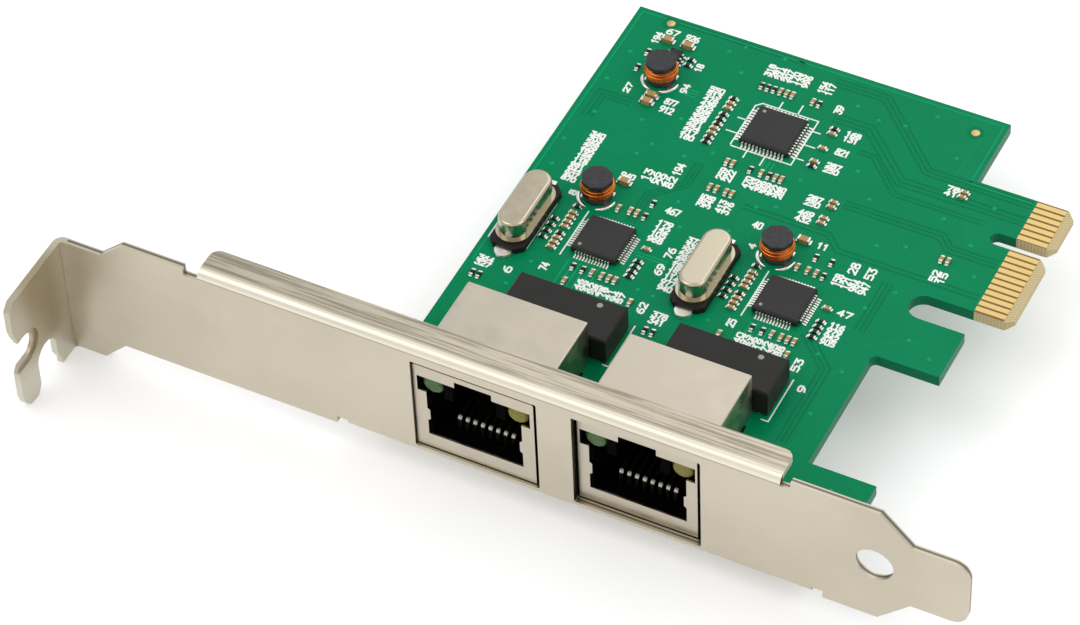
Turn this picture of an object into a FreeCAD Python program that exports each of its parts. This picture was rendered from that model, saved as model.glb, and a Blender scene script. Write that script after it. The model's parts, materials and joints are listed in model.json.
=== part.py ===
"""Dual-port network interface card: folded bracket, board, two sunk modular jacks.

Frame, in millimetres. X runs along the bracket from the screw tab to the tongue.
Y runs from the bracket's outer face back over the board. Z points out of the
component side, and is zero at the bracket's solder-side edge.
"""

import FreeCAD
import Part
import Sketcher
import math
import os

V = FreeCAD.Vector

# Every driving size, with its alias in the spreadsheet.
SIZES = [
    # Folded bracket.
    ("sheet", 0.86),
    ("bracket_length", 120.02),
    ("bracket_width", 18.42),
    ("neck_top", 15.4),
    ("neck_bottom", -3.3),
    ("neck_run_top", 6.4),
    ("neck_run_bottom", 5.1),
    ("body_start_top", 9.6),
    ("body_start_bottom", 8.3),
    ("shoulder_run", 4.1),
    ("tongue_width", 10.2),
    ("tongue_length", 7.1),
    ("tongue_corner", 2.2),
    ("tab_reach", 12.2),
    ("tab_corner", 1.0),
    ("fold_radius", 1.3),
    ("slot_width", 3.5),
    ("slot_depth", 4.2),
    ("slot_level", 6.1),
    ("slot_flare", 1.1),
    ("slot_lead", 3.1),
    ("slot_rim", 0.75),
    ("coin_depth", 0.35),
    ("tab_notch_width", 4.2),
    ("tab_notch_reach", 6.1),
    ("tab_notch_top", 3.2),
    ("tab_arm_bevel", 1.7),
    ("tab_arm_heel", 0.8),
    ("key_hole", 4.85),
    ("key_hole_inset", 11.75),
    ("flange_reach", 4.45),
    ("flange_corner", 1.3),
    ("bend_radius", 1.0),
    ("top_flange_start", 20.05),
    ("top_flange_end", 96.4),
    ("low_flange_start", 39.3),
    ("low_flange_end", 100.4),
    ("relief_top_left", 1.9),
    ("relief_top_right", 1.3),
    ("relief_low", 1.5),
    ("relief_rise", 1.25),
    ("cutout_clear_left", 0.06),
    ("cutout_clear_right", 0.6),
    ("cutout_bottom", 1.2),
    ("cutout_top", 16.1),
    ("cutout_corner", 0.25),
    # Board.
    ("board_top", 8.5),
    ("board_thick", 1.57),
    ("board_left", 43.55),
    ("board_near", 1.6),
    ("board_far", 72.6),
    ("board_right", 94.85),
    ("finger_end", 108.0),
    ("finger_near", 41.6),
    ("finger_far", 61.8),
    ("finger_corner", 0.9),
    ("bevel_run", 1.2),
    ("bevel_drop", 0.45),
    ("notch_near", 52.85),
    ("notch_width", 1.95),
    ("notch_bottom", 100.0),
    ("hook_near", 30.1),
    ("hook_far", 37.75),
    ("hook_end", 103.45),
    ("hook_slot_end", 95.4),
    ("strip_far", 11.45),
    ("strip_end", 103.55),
    ("screw_left", 45.5),
    ("screw_right", 96.2),
    ("screw_inset", 4.9),
    ("screw_hole", 2.7),
    # Card edge contacts.
    ("pin_pitch", 1.0),
    ("pin_width", 0.7),
    ("pin_start", 103.0),
    ("pin_length", 3.9),
    ("pin_plating", 0.05),
    ("first_pin", 42.2),
    ("pins_before_key", 11),
    ("pins_after_key", 7),
    ("key_gap", 3.0),
    # Modular jacks.
    ("jack_start", 48.645),
    ("jack_gap", 5.19),
    ("jack_one_front", 0.45),
    ("jack_two_front", 1.0),
    ("jack_width", 15.95),
    ("jack_bottom", 1.35),
    ("jack_top", 15.3),
    ("jack_depth", 14.5),
    ("jack_low_depth", 12.2),
    ("shell", 0.25),
    ("mouth_width", 12.6),
    ("mouth_bottom", 3.6),
    ("mouth_top", 11.0),
    ("window_width", 14.9),
    ("window_top", 13.5),
    ("latch_width", 4.9),
    ("latch_top", 14.5),
    ("rib_bottom", 6.0),
    ("rib_top", 8.2),
    ("rib_reach", 0.35),
    ("plug_width", 11.9),
    ("plug_floor", 3.55),
    ("plug_back", 1.2),
    ("lamp_offset", 5.6),
    ("lamp_level", 12.05),
    ("lamp_size", 2.9),
    ("lamp_setback", 0.4),
    ("lamp_length", 5.6),
    ("wire_pitch", 1.02),
    ("wire_width", 0.45),
    ("wire_thick", 0.28),
    ("wire_bend", 2.3),
    ("wire_rise", 1.0),
    ("leg_out", 1.1),
    ("leg_length", 1.4),
    ("leg_place", 6.0),
    ("leg_pin", 0.45),
    ("fit_gap", 0.25),
    # Magnetics modules.
    ("magnet_one", 59.5),
    ("magnet_two", 80.45),
    ("magnet_width", 14.3),
    ("magnet_depth", 6.2),
    ("magnet_height", 4.0),
    ("magnet_behind", 0.35),
    ("magnet_lift", 0.3),
    ("magnet_pins", 12),
    ("magnet_pitch", 1.1),
    # Flat packages.
    ("control_one", 57.6),
    ("control_one_y", 33.15),
    ("control_two", 81.8),
    ("control_two_y", 33.3),
    ("control_body", 6.0),
    ("control_span", 7.3),
    ("control_pins", 12),
    ("control_pitch", 0.4),
    ("switch_place", 68.7),
    ("switch_place_y", 58.75),
    ("switch_body", 6.4),
    ("switch_span", 7.8),
    ("switch_pitch", 0.5),
    ("chip_height", 1.05),
    ("chip_lift", 0.1),
    ("chip_bevel", 0.2),
    ("pin_sheet", 0.12),
    ("regulator_x", 51.6),
    ("regulator_y", 65.55),
    # Crystals.
    ("crystal_one", 47.15),
    ("crystal_one_y", 32.8),
    ("crystal_two", 71.4),
    ("crystal_two_y", 33.0),
    ("crystal_base", 4.7),
    ("crystal_base_run", 11.8),
    ("crystal_base_high", 0.9),
    ("crystal_rim", 4.5),
    ("crystal_rim_run", 11.0),
    ("crystal_rim_high", 0.4),
    ("crystal_can", 3.7),
    ("crystal_can_run", 10.3),
    ("crystal_high", 3.9),
    ("crystal_round", 0.45),
    # Power inductors.
    ("coil_one", 51.65),
    ("coil_one_y", 61.9),
    ("coil_two", 53.4),
    ("coil_two_y", 40.1),
    ("coil_three", 77.7),
    ("coil_three_y", 40.2),
    ("coil_foot", 4.2),
    ("coil_cap", 4.0),
    ("coil_high", 3.3),
    ("coil_cheek", 0.65),
    ("coil_wire", 3.9),
    ("coil_waist", 2.0),
    # Small chips.
    ("chip_run", 1.0),
    ("chip_across", 0.5),
    ("chip_tall", 0.45),
    ("big_chip_run", 1.6),
    ("big_chip_across", 0.85),
    ("big_chip_tall", 0.75),
    # Bracket fasteners.
    ("spacer_size", 3.8),
    ("screw_head", 3.6),
    ("screw_head_high", 1.3),
    ("screw_shank", 2.5),
    ("screw_grip", 2.6),
]

# Small ceramic capacitors: centre X, centre Y, and 1 when the ends lie along Y.
CAPACITORS = (
    [(66.4, 65.8, 1), (67.25, 65.8, 1), (68.05, 65.8, 1), (70.85, 65.8, 1)]
    + [(61.6, 61.3, 0), (61.6, 60.4, 0), (61.6, 56.5, 0), (61.6, 55.6, 0)]
    + [(75.3, 61.7, 0), (75.3, 58.9, 0), (75.3, 56.4, 0)]
    + [(65.5, 51.8, 1), (66.3, 51.8, 1), (70.2, 51.8, 1), (72.1, 51.8, 1), (72.9, 51.8, 1)]
    + [(65.4, 47.0, 1), (66.3, 47.0, 1), (67.6, 47.0, 1), (68.4, 47.0, 1)]
    + [(80.4, 50.95, 0), (80.4, 50.1, 0), (80.4, 48.0, 0), (80.4, 47.15, 0)]
    + [(94.3, 59.2, 0), (94.3, 58.35, 0), (96.15, 47.7, 1), (97.0, 47.7, 1)]
    + [(56.75, 39.0, 1), (58.3, 39.2, 1), (59.2, 39.2, 1), (62.9, 34.2, 0)]
    + [(80.8, 39.2, 1), (82.2, 39.2, 1), (83.3, 39.2, 1), (86.9, 34.5, 0)]
    + [(52.1, 36.0, 0), (52.1, 35.15, 0), (52.1, 34.3, 0), (52.1, 33.45, 0)]
    + [(52.1, 31.4, 0), (52.1, 30.55, 0), (52.1, 29.7, 0)]
    + [(76.3, 36.1, 0), (76.3, 35.25, 0), (76.3, 34.4, 0), (76.3, 33.55, 0)]
    + [(76.3, 31.5, 0), (76.3, 30.65, 0), (76.3, 29.8, 0)]
    + [(58.6, 27.9, 1), (59.9, 27.9, 1), (60.85, 27.9, 1), (61.7, 27.9, 1)]
    + [(82.6, 27.9, 1), (83.8, 27.9, 1), (84.7, 27.9, 1), (85.55, 27.9, 1)]
    + [(56.1, 25.3, 1), (64.9, 25.4, 1), (76.8, 25.3, 1), (85.6, 25.6, 1)]
)

# Small resistors, in the same form.
RESISTORS = (
    [(63.8, 65.8, 1), (64.65, 65.8, 1), (65.5, 65.8, 1), (71.7, 65.8, 1)]
    + [(61.6, 62.2, 0), (61.6, 59.2, 0), (61.6, 58.3, 0), (61.6, 57.4, 0), (61.6, 54.75, 0)]
    + [(61.6, 53.9, 0), (75.3, 62.6, 0), (75.3, 55.55, 0), (68.7, 51.8, 1), (71.2, 51.8, 1)]
    + [(60.3, 39.1, 1), (60.3, 41.5, 1), (84.3, 39.1, 1), (82.2, 41.6, 1), (84.3, 41.6, 1)]
    + [(62.9, 31.9, 0), (62.9, 31.0, 0), (62.9, 30.1, 0), (62.9, 29.25, 0)]
    + [(87.1, 32.2, 0), (87.1, 31.3, 0), (87.1, 30.4, 0), (87.1, 29.5, 0)]
    + [(50.35, 34.2, 0), (50.35, 33.1, 0), (50.35, 32.0, 0), (50.35, 30.9, 0)]
    + [(74.55, 34.4, 0), (74.55, 33.3, 0), (74.55, 32.2, 0), (74.55, 31.1, 0)]
    + [(52.1, 37.2, 0), (52.1, 32.25, 0), (76.3, 37.3, 0), (76.3, 32.35, 0)]
    + [(56.0, 27.9, 1), (57.35, 27.9, 1), (80.0, 27.9, 1), (81.35, 27.9, 1)]
    + [(45.3, 21.9, 1), (46.2, 21.9, 1), (68.5, 22.1, 1), (69.5, 22.1, 1)]
    + [(53.75, 66.2, 0), (53.75, 65.2, 0), (48.1, 65.3, 1), (48.1, 62.3, 1)]
)

# Larger ceramic capacitors beside the inductors.
BIG_CAPACITORS = [
    (52.35, 68.25, 0),
    (49.55, 68.2, 0),
    (52.0, 58.35, 0),
    (51.9, 57.1, 0),
    (55.5, 43.3, 0),
    (79.75, 43.5, 0),
]

# The middle of each jack in X, as expressions, with the name of its front's size.
JACKS = (
    ("jack_left", "(jack_start + jack_width / 2)", "jack_one_front"),
    ("jack_right", "(jack_start + jack_width * 1.5 + jack_gap)", "jack_two_front"),
)

doc = FreeCAD.newDocument("NetworkCard")
sheet = doc.addObject("Spreadsheet::Sheet", "Sizes")
for row, (alias, value) in enumerate(SIZES, start=1):
    sheet.set("A%d" % row, alias)
    sheet.set("B%d" % row, str(value))
    sheet.setAlias("B%d" % row, alias)
doc.recompute()

NODES = []


def size(alias):
    """Return the value held by one spreadsheet cell."""
    return float(sheet.get(alias))


def link(text):
    """Put the sheet's name before each alias in an expression."""
    words = []
    word = ""
    for letter in text + " ":
        if letter.isalpha() or letter == "_":
            word += letter
            continue
        if word:
            words.append("Sizes." + word)
            word = ""
        words.append(letter)
    return "".join(words).strip()


def number(text):
    """Work out an expression in the spreadsheet's aliases."""
    result = sheet.evalExpression(link(text))
    return float(getattr(result, "Value", result))


def bind(item, path, text):
    """Tie one property to an expression in the aliases."""
    item.setExpression(path, link(text))


def new_body(label):
    """Start a body whose label is its node's name."""
    body = doc.addObject("PartDesign::Body", label)
    body.Label = label
    body.AllowCompound = True
    NODES.append(body)
    return body


def place(body, x="0", y="0", z="0"):
    """Bind a sub-part's place to the sheet."""
    for axis, text in (("x", x), ("y", y), ("z", z)):
        bind(body, "Placement.Base." + axis, text)


def plane_sketch(body, plane, name, offset="0"):
    """Attach a new sketch to one of the body's own origin planes."""
    sketch = body.newObject("Sketcher::SketchObject", name)
    origin_plane = [o for o in body.Origin.OriginFeatures if o.Role == plane][0]
    sketch.AttachmentSupport = [(origin_plane, "")]
    sketch.MapMode = "FlatFace"
    bind(sketch, ".AttachmentOffset.Base.z", offset)
    return sketch


def fix_point(sketch, geometry, end, across, up):
    """Hold one point of a sketch at a pair of expressions."""
    for kind, text in (("DistanceX", across), ("DistanceY", up)):
        index = sketch.addConstraint(Sketcher.Constraint(kind, -1, 1, geometry, end, number(text)))
        bind(sketch, "Constraints[%d]" % index, text)


def outline(sketch, corners):
    """Draw a closed outline whose corners are pairs of expressions."""
    points = [V(number(a), number(b), 0) for a, b in corners]
    first = sketch.GeometryCount
    for start, end in zip(points, points[1:] + points[:1]):
        sketch.addGeometry(Part.LineSegment(start, end), False)
    count = len(points)
    for step in range(count):
        following = first + (step + 1) % count
        sketch.addConstraint(Sketcher.Constraint("Coincident", first + step, 2, following, 1))
    for step, (across, up) in enumerate(corners):
        fix_point(sketch, first + step, 1, across, up)


def rectangle(sketch, left, right, low, high):
    """Draw a rectangle between four expressions."""
    outline(sketch, [(left, low), (right, low), (right, high), (left, high)])


def circle(sketch, across, up, radius):
    """Draw a circle from its centre and radius expressions."""
    centre = V(number(across), number(up), 0)
    geometry = sketch.addGeometry(Part.Circle(centre, V(0, 0, 1), number(radius)), False)
    fix_point(sketch, geometry, 3, across, up)
    index = sketch.addConstraint(Sketcher.Constraint("Radius", geometry, number(radius)))
    bind(sketch, "Constraints[%d]" % index, radius)


def extrude(body, sketch, name, length, reverse=False, middle=False):
    """Pad a sketch by an expression."""
    pad = body.newObject("PartDesign::Pad", name)
    pad.Profile = sketch
    bind(pad, "Length", length)
    pad.Reversed = reverse
    pad.SideType = "Symmetric" if middle else "One side"
    doc.recompute()
    return pad


def cut(body, sketch, name, length, reverse=False, middle=False):
    """Pocket a sketch by an expression, and check that it removed material."""
    before = body.Tip.Shape.Volume
    pocket = body.newObject("PartDesign::Pocket", name)
    pocket.Profile = sketch
    bind(pocket, "Length", length)
    pocket.Reversed = reverse
    pocket.SideType = "Symmetric" if middle else "One side"
    doc.recompute()
    if pocket.Shape.isNull() or pocket.Shape.Volume > before - 1e-6:
        raise RuntimeError("%s in %s removes nothing" % (name, body.Label))
    return pocket


def edges_where(body, test):
    """Name the edges of a body's present shape that pass a test."""
    names = []
    for index, edge in enumerate(body.Tip.Shape.Edges, start=1):
        if test(edge):
            names.append("Edge%d" % index)
    return names


def along(edge, axis):
    """Tell whether a straight edge runs along one axis, given as 0, 1 or 2."""
    ends = edge.Vertexes
    if len(ends) != 2:
        return False
    step = ends[1].Point - ends[0].Point
    rest = [abs(step[k]) for k in range(3) if k != axis]
    return max(rest) < 1e-6 and abs(step[axis]) > 1e-6


def at(edge, **place_of):
    """Tell whether an edge's middle lies at the given coordinates."""
    box = edge.BoundBox
    centre = {"x": box.Center.x, "y": box.Center.y, "z": box.Center.z}
    return all(abs(centre[axis] - value) < 1e-4 for axis, value in place_of.items())


def round_edges(body, name, radius, test):
    """Fillet the edges that pass a test."""
    names = edges_where(body, test)
    if not names:
        raise RuntimeError("%s in %s finds no edge" % (name, body.Label))
    support = body.Tip
    fillet = body.newObject("PartDesign::Fillet", name)
    fillet.Base = (support, names)
    bind(fillet, "Radius", radius)
    doc.recompute()
    return fillet


def bevel_edges(body, name, length, test):
    """Chamfer the edges that pass a test."""
    names = edges_where(body, test)
    if not names:
        raise RuntimeError("%s in %s finds no edge" % (name, body.Label))
    support = body.Tip
    chamfer = body.newObject("PartDesign::Chamfer", name)
    chamfer.Base = (support, names)
    bind(chamfer, "Size", length)
    doc.recompute()
    return chamfer


def shape_node(label, solids):
    """Keep a group of separate solids as one node."""
    feature = doc.addObject("Part::Feature", label)
    feature.Label = label
    feature.Shape = Part.makeCompound(solids)
    feature.Placement = FreeCAD.Placement(V(0, 0, 0), FreeCAD.Rotation())
    NODES.append(feature)
    return feature


def block(x, y, z, length, width, height):
    """Make a box from its centre in X and Y and its lowest Z."""
    return Part.makeBox(length, width, height, V(x - length / 2, y - width / 2, z))


# ---------------------------------------------------------------- bracket

bracket = new_body("bracket")
face = plane_sketch(bracket, "XZ_Plane", "BracketFace")
shoulder = "bracket_length - tongue_length - shoulder_run"
tongue_root = "bracket_length - tongue_length"
tongue_low = "(bracket_width - tongue_width) / 2"
tongue_high = "(bracket_width + tongue_width) / 2"
outline(face, [
    ("0", "neck_bottom"),
    ("neck_run_bottom", "neck_bottom"),
    ("body_start_bottom", "0"),
    (shoulder, "0"),
    (tongue_root, tongue_low),
    ("bracket_length", tongue_low),
    ("bracket_length", tongue_high),
    (tongue_root, tongue_high),
    (shoulder, "bracket_width"),
    ("body_start_top", "bracket_width"),
    ("neck_run_top", "neck_top"),
    ("0", "neck_top"),
])
extrude(bracket, face, "BracketPlate", "sheet", reverse=True)

tab = plane_sketch(bracket, "YZ_Plane", "ScrewTab")
outline(tab, [
    ("-tab_reach", "neck_bottom + tab_arm_bevel * 1.6"),
    ("-tab_reach + tab_arm_bevel * 0.25", "neck_bottom + tab_arm_bevel * 0.7"),
    ("-tab_reach + tab_arm_bevel * 0.8", "neck_bottom + tab_arm_bevel * 0.1"),
    ("-tab_reach + tab_arm_bevel * 1.3", "neck_bottom"),
    ("0", "neck_bottom"),
    ("sheet", "neck_bottom"),
    ("sheet", "neck_top"),
    ("-tab_reach + tab_corner", "neck_top"),
    ("-tab_reach", "neck_top - tab_corner"),
])
extrude(bracket, tab, "ScrewTabPlate", "sheet")

slot = plane_sketch(bracket, "YZ_Plane", "ScrewSlot")
slot_centre = "-tab_reach + slot_depth - slot_width / 2"
outline(slot, [
    ("-tab_reach - 1", "slot_level - slot_width / 2 - slot_flare * 0.8"),
    ("-tab_reach", "slot_level - slot_width / 2 - slot_flare * 0.8"),
    ("-tab_reach + slot_flare * 0.6", "slot_level - slot_width / 2"),
    (slot_centre, "slot_level - slot_width / 2"),
    (slot_centre, "slot_level + slot_width / 2"),
    ("-tab_reach + slot_flare", "slot_level + slot_width / 2"),
    ("-tab_reach + slot_flare * 0.35", "slot_level + slot_width / 2 + slot_lead * 0.55"),
    ("-tab_reach", "slot_level + slot_width / 2 + slot_lead"),
    ("-tab_reach - 1", "slot_level + slot_width / 2 + slot_lead"),
])
cut(bracket, slot, "ScrewSlotCut", "sheet * 3", middle=True)
slot_end = plane_sketch(bracket, "YZ_Plane", "ScrewSlotEnd")
circle(slot_end, slot_centre, "slot_level", "slot_width / 2")
cut(bracket, slot_end, "ScrewSlotEndCut", "sheet * 3", middle=True)
coin = plane_sketch(bracket, "YZ_Plane", "ScrewCoin", offset="sheet")
rectangle(coin, "-tab_reach - 1", slot_centre,
          "slot_level - slot_width / 2 - slot_rim", "slot_level + slot_width / 2 + slot_rim")
cut(bracket, coin, "ScrewCoinCut", "coin_depth")
coin_end = plane_sketch(bracket, "YZ_Plane", "ScrewCoinEnd", offset="sheet")
circle(coin_end, slot_centre, "slot_level", "slot_width / 2 + slot_rim")
cut(bracket, coin_end, "ScrewCoinEndCut", "coin_depth")

notch = plane_sketch(bracket, "YZ_Plane", "TabNotch")
notch_far = "-tab_notch_reach - tab_notch_width / 2"
notch_close = "-tab_notch_reach + tab_notch_width / 2"
outline(notch, [
    (notch_far + " - tab_arm_heel * 2", "neck_bottom - 1"),
    (notch_far + " - tab_arm_heel", "neck_bottom"),
    (notch_far, "neck_bottom + tab_arm_heel * 1.5"),
    (notch_far, "tab_notch_top - tab_notch_width / 2"),
    (notch_close, "tab_notch_top - tab_notch_width / 2"),
    (notch_close, "neck_bottom + tab_arm_heel * 3"),
    (notch_close + " + tab_arm_heel", "neck_bottom + tab_arm_heel"),
    (notch_close + " + tab_arm_heel", "neck_bottom - 1"),
])
cut(bracket, notch, "TabNotchCut", "sheet * 3", middle=True)
notch_top = plane_sketch(bracket, "YZ_Plane", "TabNotchTop")
circle(notch_top, "-tab_notch_reach", "tab_notch_top - tab_notch_width / 2", "tab_notch_width / 2")
cut(bracket, notch_top, "TabNotchTopCut", "sheet * 3", middle=True)

top_flange = plane_sketch(bracket, "XY_Plane", "TopFlange", offset="bracket_width - sheet")
rectangle(top_flange, "top_flange_start", "top_flange_end", "sheet / 2", "flange_reach")
extrude(bracket, top_flange, "TopFlangePlate", "sheet")
low_flange = plane_sketch(bracket, "XY_Plane", "LowFlange")
ear = "(screw_hole / 2 + 1.5)"
outline(low_flange, [
    ("low_flange_start", "sheet / 2"),
    ("low_flange_end", "sheet / 2"),
    ("low_flange_end", "flange_reach"),
    ("screw_right + " + ear, "flange_reach"),
    ("screw_right + " + ear, "screw_inset + " + ear),
    ("screw_right - " + ear, "screw_inset + " + ear),
    ("screw_right - " + ear, "flange_reach"),
    ("screw_left + " + ear, "flange_reach"),
    ("screw_left + " + ear, "screw_inset + " + ear),
    ("screw_left - " + ear, "screw_inset + " + ear),
    ("screw_left - " + ear, "flange_reach"),
    ("low_flange_start", "flange_reach"),
])
extrude(bracket, low_flange, "LowFlangePlate", "sheet")
ear_holes = plane_sketch(bracket, "XY_Plane", "EarHoles")
for post in ("screw_left", "screw_right"):
    circle(ear_holes, post, "screw_inset", "screw_hole / 2")
cut(bracket, ear_holes, "EarHolesCut", "sheet * 3", middle=True)

reliefs = plane_sketch(bracket, "XZ_Plane", "Reliefs")
high = "bracket_width"
rectangle(reliefs, "top_flange_start - relief_top_left", "top_flange_start",
          high + " - relief_rise", high + " + 1")
rectangle(reliefs, "top_flange_end", "top_flange_end + relief_top_right",
          high + " - relief_rise", high + " + 1")
rectangle(reliefs, "low_flange_start - relief_low", "low_flange_start", "-1", "relief_rise * 0.9")
rectangle(reliefs, "low_flange_end", "low_flange_end + relief_low", "-1", "relief_rise * 0.9")
cut(bracket, reliefs, "ReliefCuts", "sheet * 3", middle=True)

cutouts = plane_sketch(bracket, "XZ_Plane", "JackCutouts")
for tag, jack, front in JACKS:
    rectangle(cutouts, jack + " - jack_width / 2 - cutout_clear_left",
              jack + " + jack_width / 2 + cutout_clear_right", "cutout_bottom", "cutout_top")
cut(bracket, cutouts, "JackCutoutCuts", "sheet * 3", middle=True)
hole = plane_sketch(bracket, "XZ_Plane", "KeyHole")
circle(hole, "bracket_length - key_hole_inset", "bracket_width / 2", "key_hole / 2")
cut(bracket, hole, "KeyHoleCut", "sheet * 3", middle=True)

sheet_thick = size("sheet")
wide = size("bracket_width")
length = size("bracket_length")
round_edges(bracket, "TongueCorners", "tongue_corner",
            lambda e: along(e, 1) and at(e, x=length, y=sheet_thick / 2))
round_edges(bracket, "CutoutCorners", "cutout_corner",
            lambda e: along(e, 1) and at(e, y=sheet_thick / 2)
            and (at(e, z=size("cutout_bottom")) or at(e, z=size("cutout_top"))))
round_edges(bracket, "FlangeCorners", "flange_corner",
            lambda e: along(e, 2) and at(e, y=size("flange_reach"))
            and (at(e, x=size("top_flange_start")) or at(e, x=size("top_flange_end"))
                 or at(e, x=size("low_flange_start")) or at(e, x=size("low_flange_end"))))
round_edges(bracket, "TopBend", "bend_radius",
            lambda e: along(e, 0) and at(e, y=0, z=wide)
            and at(e, x=(size("top_flange_start") + size("top_flange_end")) / 2))
round_edges(bracket, "LowBend", "bend_radius",
            lambda e: along(e, 0) and at(e, y=0, z=0)
            and at(e, x=(size("low_flange_start") + size("low_flange_end")) / 2))
round_edges(bracket, "TabBend", "fold_radius",
            lambda e: along(e, 2) and at(e, x=0, y=sheet_thick))
round_edges(bracket, "TabCrease", "fold_radius - sheet",
            lambda e: along(e, 2) and at(e, x=sheet_thick, y=0))

# ---------------------------------------------------------------- board

board = new_body("circuit_board")
under = "board_top - board_thick"
slot_round = "(finger_near - hook_far) / 2"
plan = plane_sketch(board, "XY_Plane", "BoardOutline", offset=under)
outline(plan, [
    ("board_left", "board_near"),
    ("strip_end", "board_near"),
    ("strip_end", "strip_far"),
    ("board_right", "strip_far"),
    ("board_right", "hook_near"),
    ("hook_end", "hook_near"),
    ("hook_end", "hook_far"),
    ("hook_slot_end + " + slot_round, "hook_far"),
    ("hook_slot_end + " + slot_round, "finger_near"),
    ("finger_end - finger_corner", "finger_near"),
    ("finger_end", "finger_near + finger_corner"),
    ("finger_end", "finger_far - finger_corner"),
    ("finger_end - finger_corner", "finger_far"),
    ("board_right", "finger_far"),
    ("board_right", "board_far"),
    ("board_left", "board_far"),
])
extrude(board, plan, "BoardPlate", "board_thick")
ends = plane_sketch(board, "XY_Plane", "HookSlotEnd", offset="board_top")
circle(ends, "hook_slot_end + " + slot_round, "(finger_near + hook_far) / 2", slot_round)
cut(board, ends, "HookSlotEndCut", "board_thick * 2")
key = plane_sketch(board, "XY_Plane", "KeyNotch", offset="board_top")
key_round = "notch_width / 2"
outline(key, [
    ("notch_bottom + " + key_round, "notch_near"),
    ("finger_end - finger_corner", "notch_near"),
    ("finger_end + 0.1", "notch_near - finger_corner - 0.1"),
    ("finger_end + 0.1", "notch_near + notch_width + finger_corner + 0.1"),
    ("finger_end - finger_corner", "notch_near + notch_width"),
    ("notch_bottom + " + key_round, "notch_near + notch_width"),
])
cut(board, key, "KeyNotchCut", "board_thick * 2")
key_end = plane_sketch(board, "XY_Plane", "KeyNotchEnd", offset="board_top")
circle(key_end, "notch_bottom + " + key_round, "notch_near + " + key_round, key_round)
cut(board, key_end, "KeyNotchEndCut", "board_thick * 2")
wells = plane_sketch(board, "XY_Plane", "JackWells", offset="board_top")
for tag, jack, front in JACKS:
    rectangle(wells, jack + " - jack_width / 2 - fit_gap", jack + " + jack_width / 2 + fit_gap",
              "board_near - 1", front + " + jack_low_depth + fit_gap")
cut(board, wells, "JackWellCuts", "board_thick * 2")
holes = plane_sketch(board, "XY_Plane", "BoardHoles", offset="board_top")
for post in ("screw_left", "screw_right"):
    circle(holes, post, "screw_inset", "screw_hole / 2")
leg_hole = "jack_width / 2 + leg_out - leg_pin / 2"
for tag, jack, front in JACKS:
    for side in (" - ", " + "):
        circle(holes, jack + side + "(" + leg_hole + ")", front + " + leg_place", "leg_pin * 0.9")
cut(board, holes, "BoardHoleCuts", "board_thick * 2")
bevels = plane_sketch(board, "XZ_Plane", "FingerBevels")
for edge_level, depth in (("board_top", " - bevel_drop"), (under, " + bevel_drop")):
    outline(bevels, [
        ("finger_end - bevel_run", edge_level),
        ("finger_end + 0.001", edge_level),
        ("finger_end + 0.001", edge_level + depth),
    ])
cut(board, bevels, "FingerBevelCuts", "board_far * 3", middle=True)
round_edges(board, "HookRoots", "bend_radius * 0.7",
            lambda e: along(e, 2) and at(e, x=size("board_right"), y=size("hook_near")))

# ---------------------------------------------------------------- edge contacts


def edge_pads(label, level, first_count_offset):
    """Lay one row of plated edge contacts at a level."""
    pads = []
    pitch = size("pin_pitch")
    place_of = [size("first_pin") + pitch * k for k in range(int(size("pins_before_key")))]
    after = place_of[-1] + size("key_gap")
    place_of += [after + pitch * k for k in range(int(size("pins_after_key")))]
    run = size("pin_length")
    for y in place_of[first_count_offset:]:
        pads.append(block(size("pin_start") + run / 2, y, level, run, size("pin_width"),
                          size("pin_plating")))
    return shape_node(label, pads)


edge_pads("edge_contacts_component_side", size("board_top"), 0)
edge_pads("edge_contacts_solder_side",
          size("board_top") - size("board_thick") - size("pin_plating"), 0)

# ---------------------------------------------------------------- modular jacks

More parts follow.
